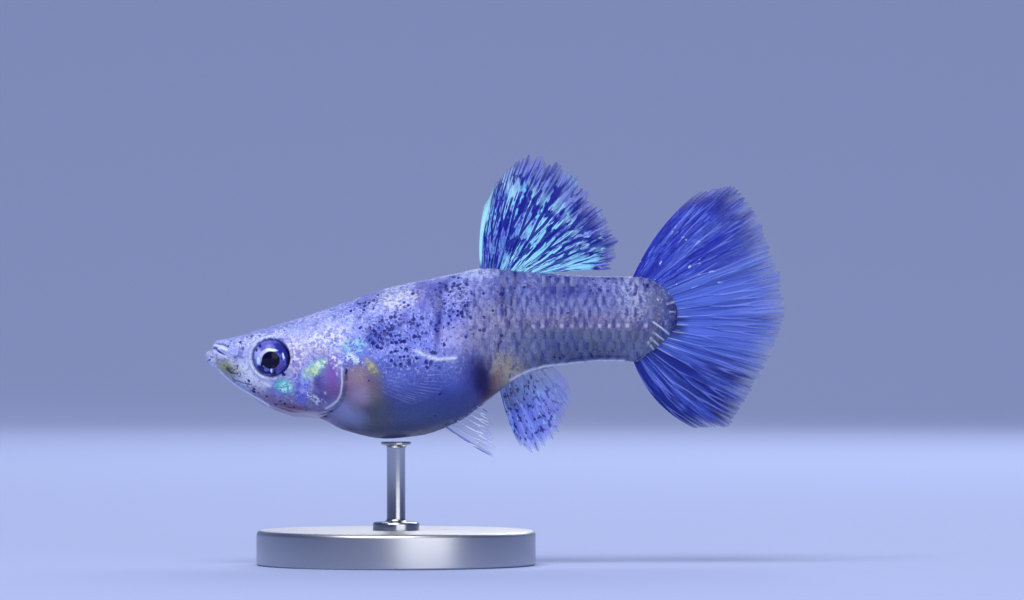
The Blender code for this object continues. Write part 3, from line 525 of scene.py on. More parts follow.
def turn_outward(obj, caps=()):
    """Adds any three-sided faces that close a mesh's ends, and turns all its faces outward."""
    bm = bmesh.new()
    bm.from_mesh(obj.data)
    bm.verts.ensure_lookup_table()
    for corners in caps:
        bm.faces.new([bm.verts[i] for i in corners]).smooth = True
    bm.normal_update()
    bmesh.ops.recalc_face_normals(bm, faces=bm.faces)
    bm.to_mesh(obj.data)
    bm.free()


def add_to_fish(obj, material, slot, *nodes):
    """Gives a piece its material, rides it on the body and has it stand for nodes. Its slot is not used."""
    obj.data.materials.append(material)
    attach(obj, "root")
    if nodes:
        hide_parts(*nodes)
    return obj


def mouth_pinch(x, h):
    """How far the skin is drawn in along the line of the mouth, 0 to 1."""
    open_share = ease(MOUTH_CORNER_X, MOUTH_CORNER_X - 1.0, x) * ease(*LIP_FRONT, x)
    return open_share * hump(h - mouth_line(x), MOUTH_HALF_WIDTH + MOUTH_OPENING * open_share)


def cover_distance(x, h):
    """Distance outside the gill cover's edge, less than 0 on it, and how far to the rear each point is."""
    dx, dh = x - COVER_X, h - COVER_H
    along, over = np.abs(dx) / COVER_HALF_LENGTH, np.abs(dh) / COVER_HALF_HEIGHT
    ratio = np.maximum((along**COVER_FULLNESS + over**COVER_FULLNESS) ** (1 / COVER_FULLNESS), 1e-6)
    return (ratio - 1) * np.hypot(dx, dh) / ratio, ease(*COVER_REAR, dx / COVER_HALF_LENGTH)


def head_relief(x, h):
    """How far the skin stands out from the plain body: orbit, gill cover, lips, folds and nostrils."""
    from_eye = np.hypot(x - EYE_X, h - EYE_H)
    out = -SOCKET_DEPTH * ease(*SOCKET_EDGE, from_eye)
    for radius, height, half_width in ORBIT_RELIEF:
        out += height * hump(from_eye - radius, half_width)
    outside, rear = cover_distance(x, h)
    rear *= ease(*COVER_FREE_H, h)
    for apart, height, half_width in COVER_RELIEF:
        out += rear * height * hump(outside - apart, half_width)
    for line, height, half_width in HEAD_RELIEF:
        out += height * hump(distance_to(line, x, h), half_width)
    for nostril_x, nostril_h, radius in NOSTRILS:
        away = np.hypot(x - nostril_x, h - nostril_h)
        out += NOSTRIL_RIM * hump(away - 2 * radius, 0.7 * radius) - NOSTRIL_DEPTH * hump(away, radius)
    along, over = (x - PECTORAL_X) / PECTORAL_BASE_HALF_LENGTH, (h - PECTORAL_H) / PECTORAL_BASE_HALF_HEIGHT
    return out + PECTORAL_BASE_RISE * hump(np.hypot(along, over), 1)


def drawn(strokes, x, h):
    """The strength of the strokes at points on the fish's side."""
    shade = np.zeros(np.shape(x))
    for half_width, strength, line in strokes:
        low, high = np.min(line, 0) - 0.5, np.max(line, 0) + 0.5
        near = (x > low[0]) & (x < high[0]) & (h > low[1]) & (h < high[1])
        mark = strength * hump(distance_to(line, x[near], h[near]), half_width)
        shade[near] = np.maximum(shade[near], mark)
    return shade


def skin_marks(x, h):
    """Numbers painted on the skin: dark dashes, with painted shade in its creases and hollows, and pale
    lines, with painted highlights along its rims.
    """
    from_eye = np.hypot(x - EYE_X, h - EYE_H)
    outside, rear = cover_distance(x, h)
    rear *= ease(*COVER_SHADOW_H, h)
    nostrils = [hump(np.hypot(x - at_x, h - at_h), radius) for at_x, at_h, radius in NOSTRILS]
    # Painted shade in the creases, the line of the mouth, the eye's socket, the gill cover's shadow and the
    # nostrils, with the dark dashes
    dark = np.maximum.reduce([
        drawn(DARK_STROKES, x, h),
        MOUTH_SHADE * mouth_pinch(x, h),
        EYE_SHADE * ease(*EYE_SHADE_EDGE, from_eye),
        COVER_SHADE * rear * hump(outside - COVER_SHADE_PLACE, COVER_SHADE_WIDTH),
        NOSTRIL_SHADE * np.max(nostrils, 0),
    ])
    # A painted highlight on the orbit's raised front rim, with the pale lines and highlights of the pale
    # strokes
    rim = ORBIT_SHINE * ease(*ORBIT_SHINE_X, x) * hump(from_eye - ORBIT_SHINE_RADIUS, ORBIT_SHINE_WIDTH)
    return {"dark_mark": dark, "pale_mark": np.maximum(drawn(PALE_STROKES, x, h), rim)}


def make_skin(material, girth):
    """One skin over head, jaw, gill covers, trunk and tail stalk."""
    stations = np.concatenate([np.arange(low, high, step) for low, high, step in RING_SPACING])
    turns = np.linspace(0, 2 * math.pi, SKIN_SIDES, endpoint=False)
    x, turn = np.meshgrid(stations, turns, indexing="ij")
    y, h = body_at(x, turn)
    plain = np.stack([x, y, h], -1)
    normals = grid_normals(plain, closed=True)
    on_side = ease(0.0, MIDLINE_PLAIN, np.abs(y))
    points = plain + normals * (head_relief(x, h) * on_side)[..., None]
    points[..., 1] *= 1 - MOUTH_DEPTH * mouth_pinch(x, h)
    # The upper lip's front curves back towards the corners of the mouth.
    above_mouth = ease(*LIP_LOW_H, h) * hump(x - LIP_X, LIP_LENGTH) * ease(LIP_START, LIP_X, x)
    points[..., 0] += LIP_SWEEP * np.clip(y / LIP_HALF_WIDTH, -1, 1) ** 2 * above_mouth
    marks = {**skin_marks(x, h), "girth": girth.at(x, turn)}
    rings, count = x.shape
    rows = np.concatenate([points.reshape(-1, 3), [points[0].mean(0), points[-1].mean(0)]])
    j = np.arange(count)
    last = (rings - 1) * count
    caps = np.concatenate([
        np.stack([np.full(count, rings * count), (j + 1) % count, j], -1),
        np.stack([np.full(count, rings * count + 1), last + j, last + (j + 1) % count], -1),
    ])
    marks = {name: np.concatenate([values.ravel(), [0, 0]]) for name, values in marks.items()}
    skin = make_mesh("skin", to_world(*rows.T), grid_faces(rings, count, closed=True), marks)
    turn_outward(skin, caps)
    nodes = ("head", "lower_jaw", "gill_cover_left", "gill_cover_right", "trunk", "tail_stalk")
    return add_to_fish(skin, material, "skin", *nodes)


class Girth:
    """Places on the body by x and the distance round it from the lateral line, upward."""

    def __init__(self):
        self.x = np.linspace(0.02, FLESH_LENGTH - 0.05, GIRTH_STATIONS)
        self.turn = np.linspace(-math.pi / 2, math.pi / 2, GIRTH_TURNS)
        x, turn = np.meshgrid(self.x, self.turn, indexing="ij")
        y, h = body_at(x, turn)
        steps = np.hypot(np.diff(y, axis=1), np.diff(h, axis=1))
        self.arc = np.concatenate([np.zeros((len(self.x), 1)), np.cumsum(steps, 1)], 1)
        for i, station in enumerate(self.x):
            self.arc[i] -= np.interp(lateral_line(station), h[i], self.arc[i])

    def at(self, x, turn):
        """The distance round at each x and turn, alike on both sides."""
        row = np.clip(np.interp(x, self.x, np.arange(len(self.x))), 0, len(self.x) - 1.001)
        column = np.interp(np.arcsin(np.sin(turn)), self.turn, np.arange(len(self.turn)))
        column = np.clip(column, 0, len(self.turn) - 1.001)
        i, j = row.astype(int), column.astype(int)
        u, v = row - i, column - j
        near = self.arc[i, j] * (1 - v) + self.arc[i, j + 1] * v
        far = self.arc[i + 1, j] * (1 - v) + self.arc[i + 1, j + 1] * v
        return near * (1 - u) + far * u

    def turn_at(self, x, girth):
        """The turn on the right side at each x and distance round."""
        place = np.interp(x, self.x, np.arange(len(self.x)))
        low = np.minimum(place.astype(int), len(self.x) - 2)
        share = place - low
        turn = np.empty_like(x)
        for i in np.unique(low):
            here = low == i
            near = np.interp(girth[here], self.arc[i], self.turn)
            far = np.interp(girth[here], self.arc[i + 1], self.turn)
            turn[here] = near + (far - near) * share[here]
        return turn

    def reach(self, x):
        """The distance round to the belly's middle and to the back's."""
        return np.interp(x, self.x, self.arc[:, 0]), np.interp(x, self.x, self.arc[:, -1])


def scale_places(girth):
    """x, distance round and row of each scale's middle on one side."""
    columns = [CROWN_START_X]
    while columns[-1] < LAST_SCALE_X:
        columns.append(columns[-1] + float(scale_pitch(columns[-1])) / 2)
    places = []
    for row in SCALE_ROWS:
        for x in columns[row % 2 :: 2]:
            low, high = girth.reach(x)
            if low - ROW_REACH < row * ROW_PITCH < high + ROW_REACH:
                places.append((x, row * ROW_PITCH, row))
    x, g, row = np.array(places).T
    _, h = body_at(x, girth.turn_at(x, g))
    crown = h > CROWN_LOW_H + CROWN_SLOPE * (x - CROWN_START_X)
    behind_cover = x > bare_head_edge(h) + BARE_MARGIN
    along, over = (x - PECTORAL_X) / PECTORAL_BARE_HALF_LENGTH, (h - PECTORAL_H) / PECTORAL_BARE_HALF_HEIGHT
    keep = (crown | behind_cover) & (np.hypot(along, over) > 1)
    return x[keep], g[keep], row[keep]


def scale_coat(side, girth, material):
    """The scales of one side: thin overlapping plates, each rooted under the one in front of it."""
    rng = np.random.default_rng(SEED + side)
    x0, g0, row = scale_places(girth)
    count = len(x0)
    steps = np.linspace(-1, 1, SCALE_STEPS + 1)
    p, q = np.meshgrid(steps, steps, indexing="ij")
    back = (p + 1) / 2
    size = (1 + SIZE_SPREAD * rng.standard_normal(count))[:, None, None]
    half_length = SCALE_HALF_LENGTH * scale_pitch(x0)[:, None, None] * size
    half_width = SCALE_HALF_WIDTH * ROW_PITCH * size
    along = half_length * (p - SCALE_ROUNDING * back * q**2) - SCALE_FORWARD
    around = half_width * q * (1 - SCALE_TAPER * (1 - back) ** 2)
    x = x0[:, None, None] + along
    turn = girth.turn_at(x, g0[:, None, None] + around)
    y, h = body_at(x, turn)
    plain = np.stack([x, y, h], -1)
    normal = grid_normals(plain)
    from_middle = np.stack([0 * x, y, h - BODY_MIDDLE_H], -1)
    normal *= np.sign((normal * from_middle).sum(-1, keepdims=True))
    tilt = 1 + TILT_SPREAD * rng.standard_normal(count)[:, None, None].clip(-TILT_LIMIT, TILT_LIMIT)
    rise = np.interp(x0, *np.transpose(SCALE_RISE))[:, None, None] * tilt
    outermost = np.maximum(np.maximum(p, 0), np.abs(q)) ** EDGE_SHARPNESS
    lift = rise * back**RISE_POWER - SCALE_SINK * (1 - back)
    top = plain + normal * (lift - EDGE_FALL * SCALE_THICKNESS * outermost)[..., None]
    under = plain + normal * (lift - SCALE_THICKNESS)[..., None]
    points = np.stack([top, under], 1)
    points[..., 1] *= side
    faces = slab_faces(SCALE_STEPS + 1, SCALE_STEPS + 1)
    faces = faces[:, ::-1] if side > 0 else faces
    per_plate = 2 * p.size
    all_faces = (faces[None] + per_plate * np.arange(count)[:, None, None]).reshape(-1, 4)
    each = (count, 2, *p.shape)
    tones = rng.random(count)[:, None, None, None]
    marks = {
        "scale_out": np.broadcast_to(p - EDGE_TINT_ROUNDING * q**2, each),
        "scale_side": np.broadcast_to(q, each),
        "scale_tone": np.broadcast_to(tones, each),
        "scale_row": np.broadcast_to(row[:, None, None, None], each),
        "girth": np.broadcast_to((g0[:, None, None] + around)[:, None], each),
    }
    for mark, values in skin_marks(x, h).items():
        marks[mark] = np.broadcast_to(values[:, None], each)
    # The bake's patches lie where each scale is rooted on the body's own unwrap, length by girth.
    root_u = x0 / FLESH_LENGTH
    root_v = 0.5 + side * (BAKE_MIDDLE + BAKE_REACH * girth.turn_at(x0, g0) / math.pi)
    u = root_u[:, None, None, None] + BAKE_PATCH * np.broadcast_to(p, each)
    v = root_v[:, None, None, None] + BAKE_PATCH * np.broadcast_to(q, each)
    name = "scales_left" if side < 0 else "scales_right"
    bake_map = {"OFBake": np.stack([u, v], -1).reshape(-1, 2)}
    coat = make_mesh(name, to_world(*points.reshape(-1, 3).T), all_faces, marks, bake_map)
    coat.data.set_sharp_from_angle(angle=SCALE_CREASE)
    return add_to_fish(coat, material, "skin")


def tail_rays():
    """The tail fin's rays, spread evenly from its lower edge to its upper one."""
    margin = monotone(*zip(*TAIL_MARGIN))
    lowest, highest = TAIL_MARGIN[0][0], TAIL_MARGIN[-1][0]
    share = np.linspace(0, 1, TAIL_LINES)
    root_turn = np.radians((2 * share - 1) * TAIL_ROOT_SPAN)
    tip_angle = lowest + (highest - lowest) * share
    reach = margin(tip_angle)
    return np.stack([
        TAIL_ROOT_X + TAIL_ROOT_HALF_LENGTH * np.cos(root_turn),
        TAIL_ROOT_H + TAIL_ROOT_HALF_HEIGHT * np.sin(root_turn),
        TAIL_CENTRE_X + reach * np.cos(np.radians(tip_angle)),
        TAIL_CENTRE_H + reach * np.sin(np.radians(tip_angle)),
        np.where(share > 0.5, TAIL_BOW_UPPER, TAIL_BOW_LOWER) * (2 * share - 1) ** 3,
    ], -1)


def branches(phase, out, forks):
    """How far each point is on a ray, 0 to 1. phase counts rays across the fin; each fork divides them."""
    frac = phase - np.round(phase)
    offsets = [np.zeros_like(out)]
    for depth, fork in enumerate(forks):
        apart = BRANCH_SPREAD / 2**depth * ease(fork + FORK_OPENS[0], fork + FORK_OPENS[1], out)
        offsets = [o + s * apart for o in offsets for s in (-1, 1)]
    width = BRANCH_WIDTH - BRANCH_TAPER * out
    return np.max([hump(frac - o, width) for o in offsets], axis=0)


def make_fin(node, rays, build, material, slot, seed, side=1):
    """A fin: two faces of a thin membrane with its rays raised on both, forked and ending in fine tips."""
    rays_shown, per_ray, rows, forks, fringe, membrane, ray_width, (root, spread, sway) = build
    rng = np.random.default_rng(SEED + seed)
    lines = [monotone(np.linspace(0, 1, len(rays)), column) for column in np.transpose(rays)]
    columns = rays_shown * per_ray + 1
    across, out = np.meshgrid(np.linspace(0, 1, columns), np.linspace(0, 1, rows + 1), indexing="ij")
    phase = across * rays_shown
    crest = branches(phase, out, forks)
    # The margin falls back between the tips of the branches, unevenly, and again between whole rays.
    tip_place = (phase - 0.5) * 2 ** len(forks) - 0.5
    tip_number = np.round(tip_place).astype(int)
    between_tips = 2 * np.abs(tip_place - tip_number)
    stray = rng.random(np.ptp(tip_number) + 1)[tip_number - tip_number.min()]
    lobe = rng.random(rays_shown + 1)[np.round(phase).astype(int)] * np.abs(2 * (phase - np.round(phase)))
    frayed = between_tips * (NOTCH + NOTCH_STRAY * stray) + TIP_STRAY * stray + RAY_NOTCH * lobe
    reach = out * (1 - fringe * frayed * out**FRAY_POWER)
    x0, h0, x1, h1, bow = (line(across) for line in lines)
    length = np.hypot(x1 - x0, h1 - h0)
    bulge = bow * 4 * reach * (1 - reach)
    x = x0 + (x1 - x0) * reach - (h1 - h0) / length * bulge
    h = h0 + (h1 - h0) * reach + (x1 - x0) / length * bulge
    wave = WAVE * np.sin(phase * WAVE_PER_RAY + WAVE_ALONG * out) * out**WAVE_POWER
    y = side * (root + spread * reach + sway * reach**2) + wave
    middle = np.stack([x, y, h], -1)
    normal = grid_normals(middle)
    thickness = membrane * (1 - MEMBRANE_TAPER * out) + ray_width * crest * (1 - RAY_TAPER * out)
    thickness[:, -1] *= LAST_EDGE
    half = normal * (thickness / 2)[..., None]
    points = np.concatenate([middle + half, middle - half]).reshape(-1, 3)
    marks = {"ray": np.tile(crest.ravel(), 2), "length_mm": np.tile((out * length).ravel(), 2)}
    fin_map = {"fin_map": np.tile(np.stack([across.ravel(), out.ravel()], -1), (2, 1))}
    faces = slab_faces(columns, rows + 1)
    fin = make_mesh(f"{node}_membrane", to_world(*points.T), faces, marks, fin_map)
    turn_outward(fin)
    return add_to_fish(fin, material, slot, node)


def make_eye(side, node, material):
    """One eyeball, domed, with the lens standing a little out of its pupil."""
    polar = np.linspace(EYE_POLE, math.pi - EYE_POLE, EYE_RINGS)
    turn = np.linspace(0, 2 * math.pi, EYE_SIDES, endpoint=False)
    polar, turn = np.meshgrid(polar, turn, indexing="ij")
    x, h, y = np.sin(polar) * np.cos(turn), np.sin(polar) * np.sin(turn), np.cos(polar)
    lens = LENS_RISE * ease(*LENS_EDGE, np.hypot(x, h)) * (y > 0)
    centre_y = float(flank(EYE_X, EYE_H)) + EYE_BULGE - EYE_DEPTH
    y = side * (centre_y + EYE_DEPTH * (y + lens))
    points = to_world(EYE_X + EYE_RADIUS * x, y, EYE_H + EYE_RADIUS * h)
    eye = make_mesh(f"{node}_ball", points.reshape(-1, 3), grid_faces(EYE_RINGS, EYE_SIDES, closed=True))
    turn_outward(eye)
    return add_to_fish(eye, material, "eye", node)


def spun(profile, sides):
    """Points and faces of a profile of (radius, height) spun about the Z axis."""
    turns = np.linspace(0, 2 * math.pi, sides, endpoint=False)
    radius, height = np.array(profile).T
    x, y = np.outer(radius, np.cos(turns)), np.outer(radius, np.sin(turns))
    points = np.stack([x, y, np.repeat(height[:, None], sides, 1)], -1).reshape(-1, 3)
    return points, grid_faces(len(profile), sides, closed=True)


def turned(node, profile, material, slot):
    """A turned piece on the stand's axis, its profile of (radius, height) run from top to bottom in mm."""
    points, faces = spun(profile, TURNING_STEPS)
    piece = make_mesh(f"{node}_turned", (points + (SNOUT_X + STAND_X, 0, 0)) * MM, faces)
    turn_outward(piece)
    piece.data.set_sharp_from_angle(angle=TURNED_CREASE)
    return add_to_fish(piece, material, slot, node)


def quarter(radius, height, across, down, steps=EDGE_STEPS):
    """Profile points round a quarter turn that starts level at (radius, height), going across and down."""
    turns = np.linspace(0, math.pi / 2, steps)
    return [(radius + across * math.sin(t), height - down * (1 - math.cos(t))) for t in turns]


def make_stand(base_material, rod_material):
    """The turned base and its rod."""
    base = [
        (AXIS_RADIUS, BASE_THICKNESS),
        *quarter(BASE_RADIUS - BASE_EDGE, BASE_THICKNESS, BASE_EDGE, BASE_EDGE),
        (BASE_RADIUS, BASE_FOOT_EDGE),
        (BASE_RADIUS - BASE_FOOT_EDGE, 0),
        (AXIS_RADIUS, 0),
    ]
    turned("stand_base", base, base_material, "stand_aluminium")
    top = AXIS_Z + float(section(np.array(STAND_X))[1]) - CLEARANCE
    foot = BASE_THICKNESS + ROD_LIFT
    foot_top = foot + ROD_FOOT_HEIGHT
    neck_width, neck_height = ROD_PAD_RADIUS - ROD_RADIUS, ROD_PAD_HEIGHT - ROD_PAD_RIM
    fillet = quarter(ROD_RADIUS + ROD_FILLET, foot_top, -ROD_FILLET, -ROD_FILLET)
    rod = [
        (AXIS_RADIUS, top),
        (ROD_PAD_RADIUS - PAD_EDGE, top),
        (ROD_PAD_RADIUS, top - PAD_EDGE),
        *quarter(ROD_PAD_RADIUS, top - ROD_PAD_RIM, -neck_width, neck_height, NECK_STEPS),
        *reversed(fillet),
        *quarter(ROD_FOOT_RADIUS - ROD_FOOT_EDGE, foot_top, ROD_FOOT_EDGE, ROD_FOOT_EDGE),
        (ROD_FOOT_RADIUS, foot),
        (AXIS_RADIUS, foot),
    ]
    turned("stand_rod", rod, rod_material, "stand_steel")


def linear(hex_colour):
    """An sRGB hex colour as linear red, green, blue and alpha."""
    parts = [int(hex_colour[i : i + 2], 16) / 255 for i in (1, 3, 5)]
    return (*[c / 12.92 if c <= 0.04045 else ((c + 0.055) / 1.055) ** 2.4 for c in parts], 1.0)


def add(tree, kind, inputs=(), **settings):
    """Adds a node with its settings, and its inputs set or linked, in order or by name. Gives its outputs."""
    made = tree.nodes.new("ShaderNode" + kind)
    for name, value in settings.items():
        setattr(made, name, value)
    for place, value in inputs.items() if isinstance(inputs, dict) else enumerate(inputs):
        if isinstance(value, bpy.types.NodeSocket):
            tree.links.new(value, made.inputs[place])
        else:
            made.inputs[place].default_value = value
    return made.outputs


def new_material(name, finish):
    """A material with one Principled shader given its finish, its tree, and the shader's inputs."""
    material = bpy.data.materials.new(name)
    material.use_nodes = True
    shader = material.node_tree.nodes["Principled BSDF"].inputs
    for socket, value in finish.items():
        shader[socket].default_value = value
    return material, material.node_tree, shader


def mask(tree, *parts):
    """The product of several parts, which says how strongly a coat of colour lies.

    A part is a number, a socket, or (socket, low, high), which eases from 0 to 1 as the socket goes from low
    to high. Two more numbers give the part's values at low and at high where they aren't 0 and 1.
    """
    product = None
    for part in parts:
        if isinstance(part, tuple):
            part = add(tree, "MapRange", part, interpolation_type="SMOOTHSTEP")[0]
        product = part if product is None else add(tree, "Math", (product, part), operation="MULTIPLY")[0]
    return product


def painted(tree, under, *coats):
    """Coats of colour laid over another. A coat is its colour, hex or a socket, and the parts of its mask."""
    under = linear(under) if isinstance(under, str) else under
    for colour, *parts in coats:
        colour = linear(colour) if isinstance(colour, str) else colour
        under = add(tree, "Mix", {0: mask(tree, *parts), 6: under, 7: colour}, data_type="RGBA")[2]
    return under


def fish_places(tree):
    """A socket of places in the fish's own millimetres (x, y, h), and the three numbers apart."""
    place = add(tree, "TexCoord")["Object"]
    shift = (-SNOUT_X, 0.0, -AXIS_Z)
    places = add(tree, "VectorMath", (place, (1 / MM,) * 3, shift), operation="MULTIPLY_ADD")[0]
    return (places, *add(tree, "SeparateXYZ", (places,)))


def ragged(tree, places, amount, size):
    """Places moved about by soft noise, so that what is painted by them has an uneven edge."""
    noise = add(tree, "TexNoise", {"Vector": places, "Scale": 1 / size, "Detail": 3.0})["Color"]
    centred = add(tree, "VectorMath", (noise, (0.5,) * 3), operation="SUBTRACT")[0]
    return add(tree, "VectorMath", (centred, (2 * amount,) * 3, places), operation="MULTIPLY_ADD")[0]


def levelled(tree, places):
    """The places with y made 1, which is how patch takes them: the 1 carries an oval's offset."""
    x, _, h = add(tree, "SeparateXYZ", (places,))
    return add(tree, "CombineXYZ", (x, 1.0, h))[0]


def patch(tree, level, x, h, half_length, half_height, turn, edge):
    """A mask that is 1 inside an oval on either side of the fish and 0 outside, soft over its edge.

    turn tips the oval's rear end up, in degrees.
    """
    c, s = math.cos(math.radians(turn)), math.sin(math.radians(turn))
    along = (c / half_length, -(c * x + s * h) / half_length, s / half_length)
    over = (-s / half_height, (s * x - c * h) / half_height, c / half_height)
    u, v = (add(tree, "VectorMath", (level, axis), operation="DOT_PRODUCT")[1] for axis in (along, over))
    apart = add(tree, "CombineXYZ", (u, v))[0]
    away = add(tree, "VectorMath", (apart,), operation="LENGTH")[1]
    return mask(tree, (away, 1 + edge, 1 - edge))


def by_height(tree, h, tones):
    """The colour at a height, from stops of height and hex colour."""
    share = add(tree, "MapRange", (h, LOWEST_TONE, HIGHEST_TONE))[0]
    band = add(tree, "ValToRGB", (share,))[0]
    stops = band.node.color_ramp.elements
    while len(stops) < len(tones):
        stops.new(0.5)
    for stop, (height, colour) in zip(stops, tones):
        stop.position = (height - LOWEST_TONE) / (HIGHEST_TONE - LOWEST_TONE)
        stop.color = linear(colour)
    return band


# Colours by height on the head, trunk and tail stalk, and the heights that the ramps run between
LOWEST_TONE, HIGHEST_TONE = -10.4, 5.0
HEAD_TONES = (
    (-8.6, "#7c789c"),
    (-7.6, "#6f6c9c"),
    (-6.4, "#8486ba"),
    (-5.0, "#b2bce8"),
    (-3.0, "#aeb9ee"),
    (-1.6, "#9ba9ee"),
    (-0.4, "#8898e0"),
    (1.5, "#8492dc"),
)
TRUNK_TONES = (
    (-10.2, "#4a5078"),
    (-9.2, "#3e4970"),
    (-7.6, "#3a4886"),
    (-6.0, "#3d4c98"),
    (-4.6, "#4957b6"),
    (-3.6, "#5b68c8"),
    (-3.0, "#7883e0"),
    (-1.0, "#7b86e4"),
    (0.8, "#6f7ad8"),
    (2.2, "#6c76d0"),
    (3.6, "#636dc2"),
    (4.6, "#5962b4"),
)
STALK_TONES = (
    (-4.6, "#6f7088"),
    (-3.4, "#4e5878"),
    (-2.4, "#4c566c"),
    (-0.8, "#545c7a"),
    (-0.5, "#6d668a"),
    (0.2, "#786f94"),
    (0.9, "#666ca4"),
    (2.6, "#5866b2"),
    (3.9, "#4a589e"),
)
# Patches of colour: x, h, half length, half height, turn, edge, colour, strength
PATCHES = (
    # Painted shade along the head's rounded crown, which the light from above only grazes
    (4.9, -0.7, 2.8, 0.6, 16, 0.6, "#5c6cbc", 0.8),
    (9.0, -0.9, 2.8, 1.0, 20, 0.6, "#8c96d8", 0.5),
    (12.0, -0.5, 2.2, 1.2, 20, 0.6, "#a6b2ec", 0.45),
    (16.7, 1.9, 1.6, 1.0, 12, 0.7, "#aab2e0", 0.5),
    (23.6, 4.1, 1.5, 0.55, 6, 0.6, "#b4c2f2", 0.8),
    (21.7, 2.6, 1.0, 1.4, 0, 0.6, "#98a4e4", 0.3),
    (16.6, -0.9, 1.6, 0.9, -10, 0.6, "#6673cc", 0.6),
    (17.6, -2.7, 2.6, 0.7, -8, 0.6, "#92a0ec", 0.5),
    (13.0, -2.3, 1.1, 0.8, 0, 0.5, "#6480d0", 0.7),
    (20.9, -1.5, 1.2, 1.1, 0, 0.6, "#b0aeec", 0.7),
    (22.9, -1.6, 2.2, 1.3, -20, 0.6, "#9c94c8", 0.6),
    (24.3, -0.9, 2.0, 2.8, 0, 0.6, "#928da4", 0.65),
    (22.0, -3.4, 1.5, 1.0, 0, 0.6, "#7477b4", 0.6),
    (13.4, -5.6, 1.7, 1.8, 0, 0.5, "#8a6f86", 0.9),
    (13.2, -4.6, 0.9, 0.8, 0, 0.6, "#978391", 0.75),
    (12.3, -7.0, 1.6, 1.3, 0, 0.5, "#6a668c", 0.7),
    (14.6, -7.9, 1.7, 1.5, 0, 0.5, "#4a5164", 0.85),
    (16.8, -4.8, 1.6, 0.9, 0, 0.8, "#6673c8", 0.55),
    (19.0, -5.6, 1.8, 1.2, 0, 0.6, "#3846a0", 0.5),
    (21.6, -4.6, 1.2, 1.2, 0, 0.8, "#5a68bc", 0.6),
    (18.6, -7.9, 2.6, 1.0, 0, 0.8, "#42548c", 0.6),
    (25.9, -4.1, 1.5, 1.6, 0, 0.6, "#aca48c", 0.85),
    (26.6, -4.9, 2.4, 0.5, -24, 0.6, "#b9ae98", 0.85),
    (27.6, -2.2, 1.8, 1.1, 0, 0.6, "#7c86a8", 0.55),
    (30.5, -1.9, 2.2, 0.9, 0, 0.6, "#3f4c80", 0.65),
    (36.4, 2.2, 1.0, 1.3, 0, 0.7, "#7f8bba", 0.4),
    (38.9, 1.2, 1.5, 2.4, 0, 0.7, "#505478", 0.75),
    (37.8, -0.2, 1.3, 0.8, 0, 0.5, "#54567e", 0.85),
    (37.2, -2.3, 1.2, 0.8, 0, 0.6, "#66749c", 0.6),
    (40.1, 0.2, 0.9, 3.4, 0, 0.6, "#44569a", 0.7),
    (40.4, 0.5, 0.6, 1.6, 0, 0.5, "#1c2a6a", 0.8),
    (37.9, 1.4, 1.3, 1.3, 0, 0.6, "#6d74a0", 0.4),
    (8.3, -5.6, 0.65, 1.4, 0, 0.5, "#6670dc", 0.75),
    (8.0, -3.4, 0.8, 1.5, 0, 0.6, "#8c7cc6", 0.75),
    (9.6, -2.5, 1.1, 0.5, 0, 0.6, "#ab9dd2", 0.65),
    (6.4, -5.7, 0.9, 0.5, -20, 0.4, "#5a72d0", 0.8),
    (4.5, -5.1, 1.6, 0.9, -35, 0.5, "#e2e6fc", 0.9),
    (3.9, -4.1, 1.1, 0.8, -30, 0.6, "#c2cff2", 0.6),
    (3.3, -4.6, 1.8, 0.6, -38, 0.5, "#f2f5ff", 0.95),
    (0.9, -3.4, 0.9, 0.6, -35, 0.5, "#e2e6ff", 0.95),
    (1.3, -3.3, 0.5, 0.14, -15, 0.5, "#9484bc", 0.5),
)
